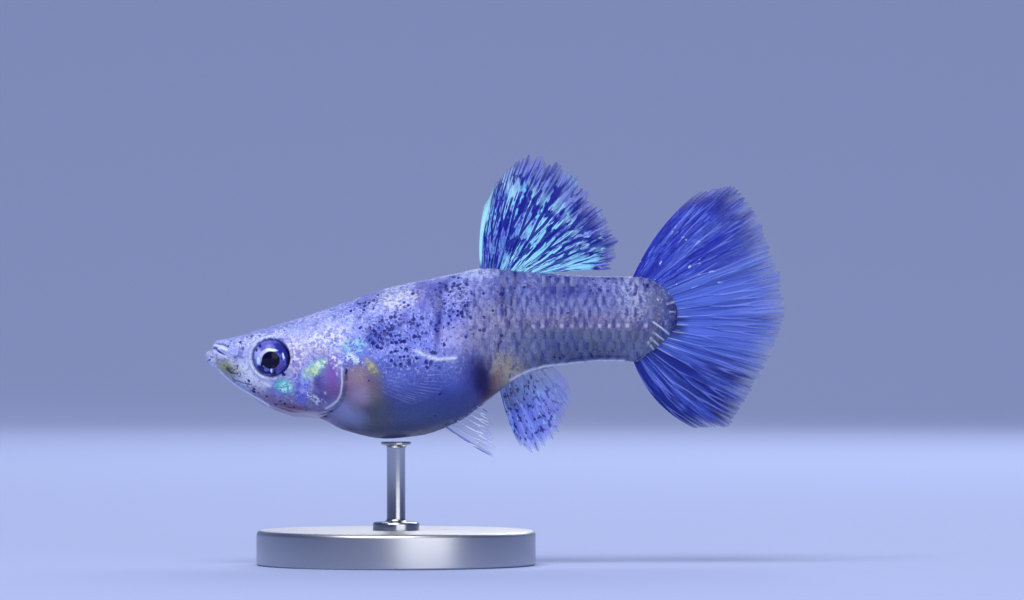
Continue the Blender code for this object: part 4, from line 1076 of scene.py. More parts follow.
# Spots and smudges that lie over the silver flecks: the same columns
SMUDGES = (
    (2.1, -4.2, 1.15, 0.6, -40, 0.7, "#949870", 0.85),
    (1.6, -3.9, 0.5, 0.3, -40, 0.5, "#aab083", 0.7),
    (2.25, -4.3, 0.2, 0.28, 20, 0.6, "#44474c", 0.7),
    (2.0, -4.1, 0.12, 0.2, 60, 0.5, "#3c3f48", 0.8),
    (2.75, -4.55, 0.3, 0.12, -35, 0.5, "#4a4e5c", 0.7),
    (5.9, -6.8, 2.0, 0.6, -25, 0.7, "#846a90", 0.65),
    (7.6, -7.6, 1.4, 0.45, -8, 0.6, "#6e4868", 0.7),
    (10.5, -5.0, 1.15, 2.1, 0, 0.4, "#5c479e", 0.7),
    (11.1, -4.5, 0.45, 1.3, 0, 0.6, "#8c54ba", 0.65),
    (11.2, -3.3, 0.4, 0.7, 0, 0.6, "#8a78c8", 0.5),
    (10.9, -6.1, 0.7, 0.9, 0, 0.6, "#7c5690", 0.55),
    (9.9, -6.7, 1.1, 0.5, -20, 0.6, "#4a4492", 0.6),
    (9.7, -5.3, 0.4, 0.6, 0, 0.6, "#463c96", 0.6),
    (8.5, -5.7, 0.5, 1.3, 0, 0.6, "#6066dc", 0.5),
    (9.3, -4.2, 1.05, 0.42, 38, 0.6, "#9cc8b4", 0.75),
    (6.85, -5.6, 0.8, 0.5, -15, 0.5, "#58bcd0", 0.8),
    (5.75, -5.9, 0.5, 0.35, -35, 0.6, "#3c4cb4", 0.6),
    (14.2, 1.8, 1.2, 0.6, 25, 0.7, "#4f5cb4", 0.6),
    # Painted shade along the head's crown again, over the flecks
    (4.9, -1.0, 1.7, 0.4, 16, 0.7, "#7686d0", 0.6),
    (2.5, -2.1, 0.5, 0.35, 15, 0.7, "#8494e0", 0.4),
    (3.05, -4.8, 0.35, 0.25, -35, 0.6, "#c8d2fa", 0.6),
    (6.2, -6.2, 0.6, 0.35, -25, 0.7, "#8e98da", 0.5),
    (8.0, -2.6, 0.55, 0.6, 0, 0.8, "#8c8ed2", 0.4),
    (9.3, -1.7, 1.0, 0.6, 20, 0.8, "#8e9ade", 0.4),
    (11.1, -0.8, 0.8, 0.5, 20, 0.8, "#8e9cde", 0.4),
    (13.5, -2.1, 0.4, 0.35, 0, 0.7, "#5a72c8", 0.5),
    (12.1, -7.9, 1.7, 0.85, -24, 0.8, "#98a2d6", 0.65),
    (13.5, -6.4, 0.9, 0.8, 0, 0.8, "#a898be", 0.5),
    (14.9, -1.2, 1.1, 0.95, 0, 0.6, "#2a44b0", 0.6),
    (14.2, -1.3, 0.4, 0.5, 0, 0.6, "#16217c", 0.35),
    (18.7, 2.3, 0.75, 1.4, 0, 0.6, "#4540a2", 0.65),
    (19.6, 2.0, 0.5, 1.2, 0, 0.6, "#3a3ea0", 0.6),
    (20.1, 0.9, 0.4, 2.0, 0, 0.6, "#1c2688", 0.8),
    (20.5, 3.0, 0.4, 0.6, 0, 0.5, "#202c8c", 0.7),
    (19.9, -1.3, 0.25, 1.2, 0, 0.6, "#242f92", 0.6),
    (17.2, 0.2, 0.5, 0.5, 0, 0.6, "#5044a8", 0.4),
    (23.4, -4.8, 1.2, 2.3, 10, 0.8, "#2e3180", 0.75),
    (24.8, -5.5, 0.5, 1.5, -25, 0.9, "#8a6c64", 0.8),
    (23.9, -5.1, 0.7, 1.9, 12, 0.7, "#18144e", 0.9),
    (30.4, 2.8, 1.5, 0.9, 0, 0.6, "#1e2a84", 0.9),
    (37.4, 0.1, 0.7, 0.5, 0, 0.7, "#44468c", 0.5),
    (31.6, 2.7, 1.6, 0.7, 0, 0.8, "#2c3a90", 0.55),
    (14.45, -4.0, 0.85, 0.4, -55, 0.8, "#9a9674", 0.75),
    (14.8, -5.7, 0.7, 1.6, 0, 0.9, "#5f6160", 0.5),
)
# Glitter of the gill cover and cheek, its iridescent colours with painted glints: x, h, half length, half
# height, turn, colour, strength
GLITTER = (
    (9.5, -4.1, 1.2, 0.5, 38, "#86e2c0", 0.9),
    (9.15, -4.4, 0.85, 0.42, 38, "#d2f0a8", 1.0),
    (10.0, -3.7, 0.6, 0.3, 38, "#eefbee", 0.95),
    (6.75, -5.6, 0.8, 0.5, -15, "#66dcd0", 1.0),
    (7.0, -5.7, 0.6, 0.42, 0, "#d8fff4", 1.0),
    (9.4, -6.6, 1.2, 0.3, -35, "#d8def8", 0.9),
    (8.6, -4.9, 0.6, 1.2, 0, "#a6b8f8", 0.8),
    (11.3, -3.2, 0.5, 0.8, 0, "#eaeefc", 0.9),
    (7.8, -2.8, 0.9, 1.5, 0, "#efe6f4", 0.9),
    (10.4, -1.6, 2.2, 1.0, 15, "#f4f2ea", 0.75),
    (12.9, -2.1, 1.0, 0.7, 0, "#9fdcea", 0.8),
    (12.8, -3.2, 0.9, 0.35, -25, "#e2f6f4", 1.0),
    (14.4, -3.9, 0.7, 0.3, -55, "#cdc888", 0.5),
    (16.3, 1.8, 2.2, 0.9, 14, "#eeecd2", 0.5),
    (4.6, -1.6, 2.4, 0.5, 12, "#e6ecff", 0.6),
    (4.0, -4.5, 1.4, 1.1, 0, "#e6eefc", 0.7),
    (36.8, 1.6, 1.3, 1.8, 0, "#d4dbee", 0.35),
)
# The pupil and the notch in its front: x and h from the eye's middle, half length, half height, turn, edge
PUPIL, PUPIL_NOTCH = (-0.03, -0.17, 0.77, 0.75, 0, 0.06), (-0.70, -0.38, 0.16, 0.36, -22, 0.12)
# The iris, with three painted glints on it: x and h from the eye's middle, half length, half height, turn,
# colour
IRIS_TONES = (
    (-0.65, 1.05, 0.75, 0.35, 25, "#6468c4"),
    (-1.05, 0.05, 0.36, 0.80, 12, "#a9b3f4"),
    (-0.62, 0.42, 0.52, 0.22, 40, "#c3cafc"),
    (-1.10, -0.22, 0.14, 0.30, 0, "#d6efff"),
    (0.92, 0.72, 0.80, 0.38, -42, "#2c2f92"),
    (1.42, 0.0, 0.18, 0.80, 0, "#28348a"),
    (0.80, -0.68, 0.34, 0.38, 0, "#5f58ac"),
    (1.20, -0.90, 0.20, 0.50, -38, "#4a50c4"),
    (-0.80, -0.95, 0.48, 0.24, -38, "#14166a"),
    (-0.30, -1.24, 0.55, 0.14, -8, "#15156e"),
    (-0.40, -0.98, 0.20, 0.18, 0, "#6f74c0"),
    # A painted glint above the pupil
    (0.03, 0.70, 0.50, 0.13, -4, "#dcefff"),
    # A painted glint right of the pupil
    (1.04, 0.17, 0.08, 0.28, 12, "#edf2ff"),
    # A painted glint below the pupil
    (0.03, -1.02, 0.08, 0.24, 0, "#eef4ff"),
    (0.30, -1.18, 0.11, 0.24, 0, "#05053c"),
    (-0.96, 1.03, 0.13, 0.15, 0, "#20267c"),
    (-1.26, 0.70, 0.10, 0.15, 0, "#33427c"),
)
# Where the navy dots lie: x, h, half length, half height, turn, share of places that hold a dot
DOT_FIELDS = (
    (15.2, -1.0, 1.6, 1.25, 0, 1.0),
    (17.4, -1.2, 2.9, 1.9, -20, 0.55),
    (18.2, -3.2, 2.4, 1.1, 0, 0.5),
    (21.7, 1.9, 1.2, 2.1, 0, 1.0),
    (20.0, 0.9, 0.7, 2.2, 0, 0.6),
    (13.6, 1.2, 1.4, 0.7, 30, 0.3),
    (24.0, 1.0, 2.2, 2.8, 0, 0.1),
    (32.0, 2.9, 6.5, 0.9, 0, 0.22),
    (34.0, -3.0, 5.0, 0.5, 0, 0.3),
    (6.2, -6.9, 2.4, 0.6, -25, 0.2),
    (2.6, -4.4, 1.3, 0.7, -38, 0.25),
)
STRAY_DOTS = 0.006
# Spacing and greatest radius of the large dots and of the small ones between them, and the small ones' shift
LARGE_DOTS, SMALL_DOTS, DOTS_ASIDE = (0.38, 0.19), (0.27, 0.09), (0.17, 0.31, 0.0)
FAR_SIDE_SHIFT = 53.0


def dots(tree, level, surface, spacing, radius):
    """Round specks, one at most in each cell of a scatter, kept where the fields are dense enough."""
    density = STRAY_DOTS
    for *oval, kept_share in DOT_FIELDS:
        here = mask(tree, patch(tree, level, *oval, edge=0.45), kept_share)
        density = add(tree, "Math", (here, density), operation="MAXIMUM")[0]
    clumps = add(tree, "TexNoise", {"Vector": surface, "Scale": 1.0, "Detail": 1.0})["Fac"]
    density = mask(tree, density, (clumps, 0.40, 0.58, 0.45, 1.1))
    scatter = {"Vector": surface, "Scale": 1 / spacing, "Randomness": 1.0}
    cells = add(tree, "TexVoronoi", scatter, voronoi_dimensions="2D")
    chance = add(tree, "SeparateColor", (cells["Color"],))
    kept = add(tree, "Math", (chance[0], density), operation="LESS_THAN")[0]
    least, more = 0.6 * radius / spacing, 0.7 * radius / spacing
    size = add(tree, "Math", (chance[1], more, least), operation="MULTIPLY_ADD")[0]
    return mask(tree, (cells["Distance"], size, mask(tree, size, 0.7)), kept)


def markings(tree):
    """The colours of the fish by place, the same on its skin and on its scales."""
    places, x, y, h = fish_places(tree)
    girth = add(tree, "Attribute", attribute_name="girth")["Fac"]
    # The far side takes its dots and grain from further along the scatter, so that it isn't a mirror image.
    right = add(tree, "Math", (y, 0.0), operation="GREATER_THAN")[0]
    surface_x = add(tree, "Math", (right, FAR_SIDE_SHIFT, x), operation="MULTIPLY_ADD")[0]
    surface = add(tree, "CombineXYZ", (surface_x, girth))[0]
    uneven = ragged(tree, places, 0.32, 0.9)
    uneven_h = add(tree, "SeparateXYZ", (uneven,))[2]
    level = levelled(tree, uneven)
    tables = (HEAD_TONES, TRUNK_TONES, STALK_TONES)
    head, trunk, stalk = (by_height(tree, uneven_h, tones) for tones in tables)
    colour = painted(tree, head, (trunk, (x, 10.2, 12.8)), (stalk, (x, 21.5, 26.0)))
    for *oval, edge, tone, strength in PATCHES:
        colour = painted(tree, colour, (tone, patch(tree, level, *oval, edge), strength))
    # Silvery guanine under the skin: fine pale flecks, 0.15 mm across, most on the head and shoulders, with
    # pits, a lilac blush and a mottle among them.
    fine = add(tree, "TexNoise", {"Vector": places, "Scale": 4.2, "Detail": 4.0, "Roughness": 0.7})
    _, pits, blush = add(tree, "SeparateColor", (fine["Color"],))
    calm = patch(tree, level, 13.6, -5.3, 1.6, 2.2, -10, 0.4)
    calm_below = mask(tree, (x, 26.0, 29.0), (h, -0.3, -0.9))
    calm = add(tree, "Math", (calm, calm_below), operation="MAXIMUM")[0]
    not_calm = add(tree, "Math", (calm, -0.65, 1.0), operation="MULTIPLY_ADD")[0]
    raised = add(tree, "Math", (h, mask(tree, (x, 12.0, 9.0, 0.0, 2.2))), operation="ADD")[0]
    high = mask(tree, (raised, -6.0, -3.5, 0.06, 1.0), not_calm)
    pit_colour = painted(tree, "#4454ac", ("#5a5c84", (x, 20.0, 24.0)))
    mottle = add(tree, "TexNoise", {"Vector": places, "Scale": 1.5, "Detail": 5.0, "Roughness": 0.6})["Fac"]
    mottle_colour = painted(tree, "#3c4ca6", ("#343a82", (x, 24.0, 28.0)))
    # Dusky smears stand upright on the flank behind the belly, along the columns of scales.
    upright = add(tree, "VectorMath", (places, (3.0, 1.0, 0.8)), operation="MULTIPLY")[0]
    smear = add(tree, "TexNoise", {"Vector": upright, "Scale": 1.0, "Detail": 3.0, "Roughness": 0.65})["Fac"]
    colour = painted(
        tree, colour,
        ("#d2dcfc", (fine["Fac"], 0.50, 0.62), (x, 26.0, 9.0, 0.22, 0.68), high),
        (pit_colour, (pits, 0.54, 0.64, 0.0, 0.8), high),
        ("#d0b4e2", (blush, 0.52, 0.62), (x, 14.0, 9.0), high, 0.35),
        (mottle_colour, (mottle, 0.50, 0.66, 0.0, 0.55), high),
        ("#262e80", (smear, 0.50, 0.64), (x, 20.0, 25.0), 0.6),
    )
    for *oval, edge, tone, strength in SMUDGES:
        colour = painted(tree, colour, (tone, patch(tree, level, *oval, edge), strength))
    sparks = add(tree, "TexNoise", {"Vector": places, "Scale": 3.4, "Detail": 3.0, "Roughness": 0.6})["Color"]
    sparks = add(tree, "SeparateColor", (sparks,))
    # Iridescent colours with painted glints, laid where the noise sparkles
    for number, (*oval, tone, strength) in enumerate(GLITTER):
        bright = (sparks[number % 3], 0.46, 0.56)
        colour = painted(tree, colour, (tone, patch(tree, level, *oval, edge=0.5), bright, strength))
    surface = ragged(tree, surface, 0.07, 0.16)
    large = dots(tree, level, surface, *LARGE_DOTS)
    aside = add(tree, "VectorMath", (surface, DOTS_ASIDE))[0]
    small = dots(tree, level, aside, *SMALL_DOTS)
    both = add(tree, "Math", (large, mask(tree, small, 0.8)), operation="MAXIMUM")[0]
    # The skin's dark dashes with painted shade in creases and hollows, and its pale lines with painted
    # highlights on rims
    pale = add(tree, "Attribute", attribute_name="pale_mark")["Fac"]
    dark = add(tree, "Attribute", attribute_name="dark_mark")["Fac"]
    colour = painted(tree, colour, ("#050f72", both, 0.96), ("#e4eefe", pale, 0.95), ("#0a0a5c", dark, 0.92))
    return colour, places, x, h


# Streaks of the tail fin: how many per mm along and per ray across, the noise's low and high, its shift,
# which part of the fin, colour, strength
TAIL_STREAKS = (
    (0.10, 0.9, 0.42, 0.62, 3.0, "all", "#5f78e4", 0.45),
    (0.07, 4.0, 0.52, 0.60, 5.0, "middle", "#2c3e9e", 0.65),
    (0.07, 5.0, 0.57, 0.64, 8.0, "middle", "#8ca0f6", 0.55),
    (0.8, 5.0, 0.49, 0.56, 21.0, "upper", "#16219a", 0.85),
    (0.8, 4.0, 0.57, 0.63, 24.0, "upper", "#6c82f6", 0.6),
    (0.12, 0.8, 0.46, 0.58, 12.0, "upper", "#1c28ac", 0.75),
    (0.3, 5.0, 0.50, 0.57, 45.0, "upper", "#141d88", 0.7),
    (0.09, 1.0, 0.44, 0.52, 17.0, "lower", "#14248a", 0.9),
    (0.09, 3.2, 0.52, 0.60, 27.0, "lower", "#14206e", 0.7),
    (0.10, 1.6, 0.55, 0.62, 31.0, "lower", "#7088ec", 0.6),
    (0.45, 5.0, 0.50, 0.57, 35.0, "lower", "#16226e", 0.75),
)

# Wet fish skin is a soft silver body under a thin clear film of slime.
WET_SKIN = {
    "Metallic": 0.06,
    "Roughness": 0.50,
    "IOR": 1.36,
    "Specular IOR Level": 0.30,
    "Coat Weight": 0.18,
    "Coat Roughness": 0.20,
    "Coat IOR": 1.34,
}
# A cornea is clear, wet and very smooth, so it mirrors the lamps as small bright windows.
WET_EYE = {
    "Roughness": 0.25,
    "IOR": 1.34,
    "Specular IOR Level": 0.2,
    "Coat Weight": 0.45,
    "Coat Roughness": 0.03,
    "Coat IOR": 1.34,
}
# Wet fin membrane is a thin satin film that shows what is behind it.
WET_MEMBRANE = {
    "Roughness": 0.45,
    "IOR": 1.36,
    "Specular IOR Level": 0.25,
    "Coat Weight": 0.10,
    "Coat Roughness": 0.2,
}


def skin_material():
    """Wet guppy skin: silver under thin colour, with painted shade in its folds, a painted highlight on the
    gill cover's rim, and a painted highlight on the undersides of the head and tail stalk.
    """
    material, tree, shader = new_material("wet_guppy_skin", WET_SKIN)
    colour, places, x, h = markings(tree)
    facing = add(tree, "NewGeometry")["Normal"]
    down = add(tree, "SeparateXYZ", (facing,))[2]
    # A painted highlight on the undersides of the head and tail stalk, where the skin faces down
    colour = painted(tree, colour, ("#d5d6ec", (down, -0.72, -0.93), (h, -8.9, -8.3), 0.55))
    tree.links.new(colour, shader["Base Color"])
    grain = add(tree, "TexNoise", {"Vector": places, "Scale": 7.0, "Detail": 4.0})["Fac"]
    relief = add(tree, "Bump", {"Height": grain, "Distance": 0.00008, "Strength": 0.8})
    tree.links.new(relief[0], shader["Normal"])
    return material


def scale_material():
    """Clear scales over silver: the skin's colours, dark rear edges, and paler middles on the lateral row."""
    material, tree, shader = new_material("clear_guppy_scales", WET_SKIN)
    colour, places, x, h = markings(tree)
    out, side, tone, row = (
        add(tree, "Attribute", attribute_name=name)["Fac"]
        for name in ("scale_out", "scale_side", "scale_tone", "scale_row")
    )
    raised = add(tree, "Math", (h, mask(tree, (x, 24.0, 29.0, 0.0, 2.5))), operation="ADD")[0]
    above_belly = mask(tree, (raised, -4.5, -2.0))
    blotch = add(tree, "TexNoise", {"Vector": places, "Scale": 0.9, "Detail": 2.0})["Fac"]
    strength = mask(
        tree, (blotch, 0.40, 0.62, 0.15, 0.85), (x, 19.0, 25.0), above_belly, (h, -1.6, 0.6, 0.4, 1.0),
        (tone, 0.0, 0.7, 0.5, 1.0),
    )
    off_middle = add(tree, "Math", (side,), operation="ABSOLUTE")[0]
    near_middle = mask(tree, (off_middle, 1.0, 0.4))
    on_row = add(tree, "Math", (row, 0.0, 0.4), operation="COMPARE")[0]
    colour = painted(
        tree, colour,
        ("#bcc6f6", tone, above_belly, 0.14),
        ("#a6a6cc", (out, 0.10, 0.30), (out, 0.66, 0.48), near_middle, strength, 0.4),
        ("#242e82", (out, 0.52, 0.78), near_middle, strength, 1.0),
        ("#dccfe8", spot_of_scale(tree, out, side), on_row, (x, 26.0, 30.0), tone, 0.65),
    )
    tree.links.new(colour, shader["Base Color"])
    return material


def spot_of_scale(tree, out, side):
    """A small spot just ahead of the rear edge of a scale."""
    place = add(tree, "CombineXYZ", (out, side))[0]
    apart = add(tree, "VectorMath", (place, (0.35, -0.3, 0.0)), operation="SUBTRACT")[0]
    apart = add(tree, "VectorMath", (apart,), operation="ABSOLUTE")[0]
    ahead, across, _ = add(tree, "SeparateXYZ", (apart,))
    return mask(tree, (ahead, 0.34, 0.08), (across, 0.38, 0.08))


def eye_material():
    """A living eye: a wet cornea over a blue iris, silver in front and above, round a black pupil, with
    painted glints above, beside and below the pupil.
    """
    material, tree, shader = new_material("wet_guppy_eye", WET_EYE)
    places = fish_places(tree)[0]
    uneven = ragged(tree, places, 0.06, 0.35)
    centre = (-EYE_X, 0, -EYE_H)
    from_centre = add(tree, "VectorMath", (uneven, (1, 0, 1), centre), operation="MULTIPLY_ADD")[0]
    away = add(tree, "VectorMath", (from_centre,), operation="LENGTH")[1]
    uneven_level, level = levelled(tree, uneven), levelled(tree, places)
    mottle = add(tree, "TexNoise", {"Vector": places, "Scale": 2.8, "Detail": 4.0})["Fac"]
    colour = painted(tree, "#4448ac", ("#7279cc", (mottle, 0.40, 0.62)))
    for dx, dh, *oval, tone in IRIS_TONES:
        here = patch(tree, uneven_level, EYE_X + dx, EYE_H + dh, *oval, edge=0.3)
        colour = painted(tree, colour, (tone, here))
    pupil, notch = (
        patch(tree, level, EYE_X + dx, EYE_H + dh, *oval) for dx, dh, *oval in (PUPIL, PUPIL_NOTCH)
    )
    dark = add(tree, "Math", (pupil, notch), operation="MAXIMUM")[0]
    colour = painted(tree, colour, ("#1e2878", (away, 1.52, 1.62)), ("#04042a", dark))
    tree.links.new(colour, shader["Base Color"])
    return material


def fin_places(tree):
    """The share across a fin and out from its root, how far a place is on a ray, and its mm from the root."""
    own = add(tree, "UVMap", uv_map="fin_map")["UV"]
    across, out, _ = add(tree, "SeparateXYZ", (own,))
    ray, length = (add(tree, "Attribute", attribute_name=name)["Fac"] for name in ("ray", "length_mm"))
    return across, out, ray, length


def streaks(tree, across, length, per_mm, rays_shown, per_ray, low, high, shift=0.0):
    """Streaks drawn out along the rays: a mask that rises as the noise passes from low to high."""
    sideways = mask(tree, across, rays_shown * per_ray)
    place = add(tree, "CombineXYZ", (sideways, mask(tree, length, per_mm), shift))[0]
    noise = add(tree, "TexNoise", {"Vector": place, "Scale": 1.0, "Detail": 2.0, "Roughness": 0.55})["Fac"]
    return mask(tree, (noise, low, high))


def finish_fin(tree, shader, colour, alpha, out, across, length):
    """Links a fin's colour and clearness, and wears its margin to fine clear hairs."""
    hairs = streaks(tree, across, length, 0.3, 60, 2.0, 0.35, 0.65, 20.0)
    worn = add(tree, "Math", (hairs, -0.12, out), operation="MULTIPLY_ADD")[0]
    tree.links.new(colour, shader["Base Color"])
    tree.links.new(mask(tree, alpha, (worn, 0.66, 1.0, 1.0, 0.12)), shader["Alpha"])


def dorsal_material():
    """Dorsal fin membrane: navy rays edged with turquoise, violet mottling between, navy leopard blotches,
    and painted highlights along its rays.
    """
    material, tree, shader = new_material("leopard_dorsal_membrane", WET_MEMBRANE)
    across, out, ray, length = fin_places(tree)
    drawn_out = (tree, across, length)
    rays = DORSAL_SHOWN
    low_front = mask(tree, (out, 0.62, 0.36), (across, 0.60, 0.30))
    less_glassy, less_lit = (
        add(tree, "Math", (low_front, drop, 1.0), operation="MULTIPLY_ADD")[0] for drop in (-0.75, -0.6)
    )
    mottle = streaks(*drawn_out, 2.4, rays, 4.5, 0.45, 0.55, 6.0)
    glassy = streaks(*drawn_out, 0.8, rays, 2.6, 0.48, 0.56, 9.0)
    lit = streaks(*drawn_out, 0.4, rays, 1.4, 0.40, 0.52, 13.0)
    # Pale cyan painted highlights lie along the rays where lit is high, fewer low at the front
    colour = painted(
        tree, "#6a74d6",
        ("#2a30a8", mottle),
        ("#84dcf6", glassy, less_glassy, 0.95),
        ("#b8eefc", (ray, 0.0005, 0.012), lit, less_lit, 0.9),
    )
    outer = mask(tree, (out, 0.62, 0.80))
    inner_ray = mask(tree, (ray, 0.03, 0.16), (out, 0.78, 0.60))
    outer_ray = mask(tree, (ray, 0.20, 0.45), outer)
    on_ray = add(tree, "Math", (inner_ray, outer_ray), operation="MAXIMUM")[0]
    unbroken = streaks(*drawn_out, 0.3, rays, 1.6, 0.34, 0.42, 15.0)
    # low_shine lays pale cyan painted shine low on the fin and along its rear
    low_shine = streaks(*drawn_out, 0.5, rays, 3.4, 0.46, 0.52, 55.0)
    colour = painted(
        tree, colour,
        ("#9cecf8", low_shine, (out, 0.66, 0.42), (across, 0.38, 0.52), 0.7),
        ("#06148e", on_ray, unbroken, 0.95),
        ("#a4f0fa", low_shine, (out, 0.38, 0.22), (across, 0.30, 0.45), 0.85),
    )
    dusk = streaks(*drawn_out, 0.25, rays, 0.8, 0.40, 0.56, 29.0)
    pale_lines = streaks(*drawn_out, 0.25, rays, 4.5, 0.52, 0.58, 19.0)
    blotch = streaks(*drawn_out, 0.50, rays, 2.0, 0.53, 0.57, 0.0)
    rear_blotch = streaks(*drawn_out, 0.55, rays, 2.2, 0.47, 0.51, 61.0)
    # The first ray stands alone along the fin's front edge, pale and narrow.
    lead_width = mask(tree, (out, 0.45, 0.75, 0.055, 0.10))
    lead = add(tree, "Math", (across, lead_width), operation="DIVIDE")[0]
    colour = painted(
        tree, colour,
        ("#1c289c", outer, dusk, 0.8),
        ("#8f9cf2", outer, pale_lines, 0.8),
        ("#07168e", blotch, 0.95),
        ("#0c1a90", rear_blotch, (across, 0.58, 0.70), (out, 0.52, 0.64), 0.9),
        ("#96e0fa", low_shine, (across, 0.80, 0.90), (out, 0.95, 0.75), 0.85),
        ("#b0f4f6", (lead, 1.0, 0.6), (out, 0.12, 0.25), 0.97),
        ("#4a58d0", (out, 0.84, 0.98), (across, 0.10, 0.30), 0.35),
    )
    finish_fin(tree, shader, colour, 0.97, out, across, length)
    return material


def tail_material():
    """Tail fin membrane: ultramarine streaked along the rays, clearer in the middle than in its lobes."""
    material, tree, shader = new_material("ultramarine_tail_membrane", WET_MEMBRANE)
    across, out, ray, length = fin_places(tree)
    drawn_out = (tree, across, length)
    rays = TAIL_SHOWN
    uneven = streaks(*drawn_out, 0.1, rays, 1.0, 0.35, 0.65, 51.0)
    level_across = add(tree, "Math", (across, -0.06), operation="ADD")[0]
    place = add(tree, "Math", (uneven, 0.12, level_across), operation="MULTIPLY_ADD")[0]
    parts = {
        "all": 1.0,
        "middle": mask(tree, (place, 0.18, 0.32), (place, 0.88, 0.72)),
        "upper": mask(tree, (place, 0.70, 0.88)),
        "lower": mask(tree, (place, 0.34, 0.18)),
    }
    colour = painted(tree, "#3047c0", ("#4e69c8", parts["middle"]), ("#334aa2", parts["lower"], 0.6))
    for per_mm, per_ray, low, high, shift, part, tone, strength in TAIL_STREAKS:
        streak = streaks(*drawn_out, per_mm, rays, per_ray, low, high, shift)
        colour = painted(tree, colour, (tone, streak, parts[part], strength))
    dim = streaks(*drawn_out, 0.15, rays, 0.7, 0.42, 0.60, 37.0)
    bright_ray = streaks(*drawn_out, 0.2, rays, 1.0, 0.44, 0.58, 44.0)
    glint = streaks(*drawn_out, 1.4, rays, 1.6, 0.60, 0.66, 2.0)
    colour = painted(
        tree, colour,
        ("#1c2c96", (ray, 0.02, 0.12), (ray, 0.55, 0.25), dim, 0.5),
        ("#8698f2", (ray, 0.35, 0.8), bright_ray, 0.5),
        ("#d3dcfc", glint, ray, (across, 0.56, 0.66), (out, 0.62, 0.40), 0.9),
    )
    blotches = streaks(*drawn_out, 0.35, rays, 1.6, 0.44, 0.54, 14.0)
    wedge = streaks(*drawn_out, 0.3, rays, 1.2, 0.44, 0.52, 41.0)
    colour = painted(
        tree, colour,
        ("#141f92", blotches, (out, 0.62, 0.84), (across, 0.72, 0.84), 0.85),
        ("#16256e", (out, 0.24, 0.13), (across, 0.30, 0.40), (across, 0.72, 0.60), wedge, 0.85),
        ("#bcc8e6", (out, 0.24, 0.15), ray, (across, 0.14, 0.24), (across, 0.60, 0.46), 0.6),
    )
    clearer = add(tree, "Math", (parts["middle"], 0.75, 0.25), operation="MULTIPLY_ADD")[0]
    clear = mask(tree, (out, 0.30, 0.9), clearer, (ray, 0.5, 0.0, 0.45, 1.0))
    alpha = add(tree, "Math", (clear, -0.42, 0.97), operation="MULTIPLY_ADD")[0]
    finish_fin(tree, shader, colour, alpha, out, across, length)
    return material


def anal_material():
    """Anal fin membrane: clear lavender blue, with dark specks and streaks along its rays."""
    material, tree, shader = new_material("speckled_anal_membrane", WET_MEMBRANE)
    across, out, ray, length = fin_places(tree)
    drawn_out = (tree, across, length)
    rays = ANAL_SHOWN
    pale = streaks(*drawn_out, 0.5, rays, 1.5, 0.45, 0.62, 1.0)
    lilac = streaks(*drawn_out, 0.3, rays, 0.8, 0.40, 0.55, 47.0)
    specks = streaks(*drawn_out, 1.7, rays, 2.2, 0.56, 0.60, 3.0)
    speckled = mask(tree, specks, (across, 0.85, 0.55, 0.3, 1.0))
    lines = streaks(*drawn_out, 0.4, rays, 2.6, 0.44, 0.52, 7.0)
    glint = streaks(*drawn_out, 0.9, rays, 2.2, 0.62, 0.68, 11.0)
    colour = painted(
        tree, "#506ada",
        ("#8aa6fa", pale),
        ("#8e8ef6", lilac, (out, 0.40, 0.60), 0.6),
        ("#6a88bc", (out, 0.50, 0.25), (across, 0.15, 0.35), 0.6),
        ("#1a2a80", speckled, 0.9),
        ("#16246a", lines, (across, 0.36, 0.20), (out, 0.50, 0.36), 0.85),
        ("#a4d8f6", glint, 0.7),
    )
    alpha = mask(tree, (across, 0.25, 0.90, 0.56, 0.14), (out, 0.15, 0.55, 0.75, 1.0))
    alpha = add(tree, "Math", (ray, 0.18, alpha), operation="MULTIPLY_ADD")[0]
    alpha = add(tree, "Math", (speckled, 0.3, alpha), operation="MULTIPLY_ADD", use_clamp=True)[0]
    finish_fin(tree, shader, colour, alpha, out, across, length)
    return material


def clear_fin_material(name, ray_colour, membrane_alpha, ray_alpha, edge_alpha):
    """A glass-clear paired fin, its pale rays catching the light in short streaks."""
    material, tree, shader = new_material(name, WET_MEMBRANE)
    across, out, ray, length = fin_places(tree)
    shine = streaks(tree, across, length, 0.8, 8, 2.0, 0.46, 0.56)
    colour = painted(tree, "#6f84d8", (ray_colour, ray), ("#f4f6ff", shine, ray))
    lit_ray = mask(tree, ray, (shine, 0.0, 1.0, 0.35, 1.0))
    front, back = mask(tree, (across, 0.06, 0.02)), mask(tree, (across, 0.95, 0.985))
    edge = add(tree, "Math", (front, back), operation="MAXIMUM")[0]
    more = ray_alpha - membrane_alpha
    alpha = add(tree, "Math", (lit_ray, more, membrane_alpha), operation="MULTIPLY_ADD")[0]
    alpha = add(tree, "Math", (edge, edge_alpha, alpha), operation="MULTIPLY_ADD", use_clamp=True)[0]
    finish_fin(tree, shader, colour, alpha, out, across, length)
    return material


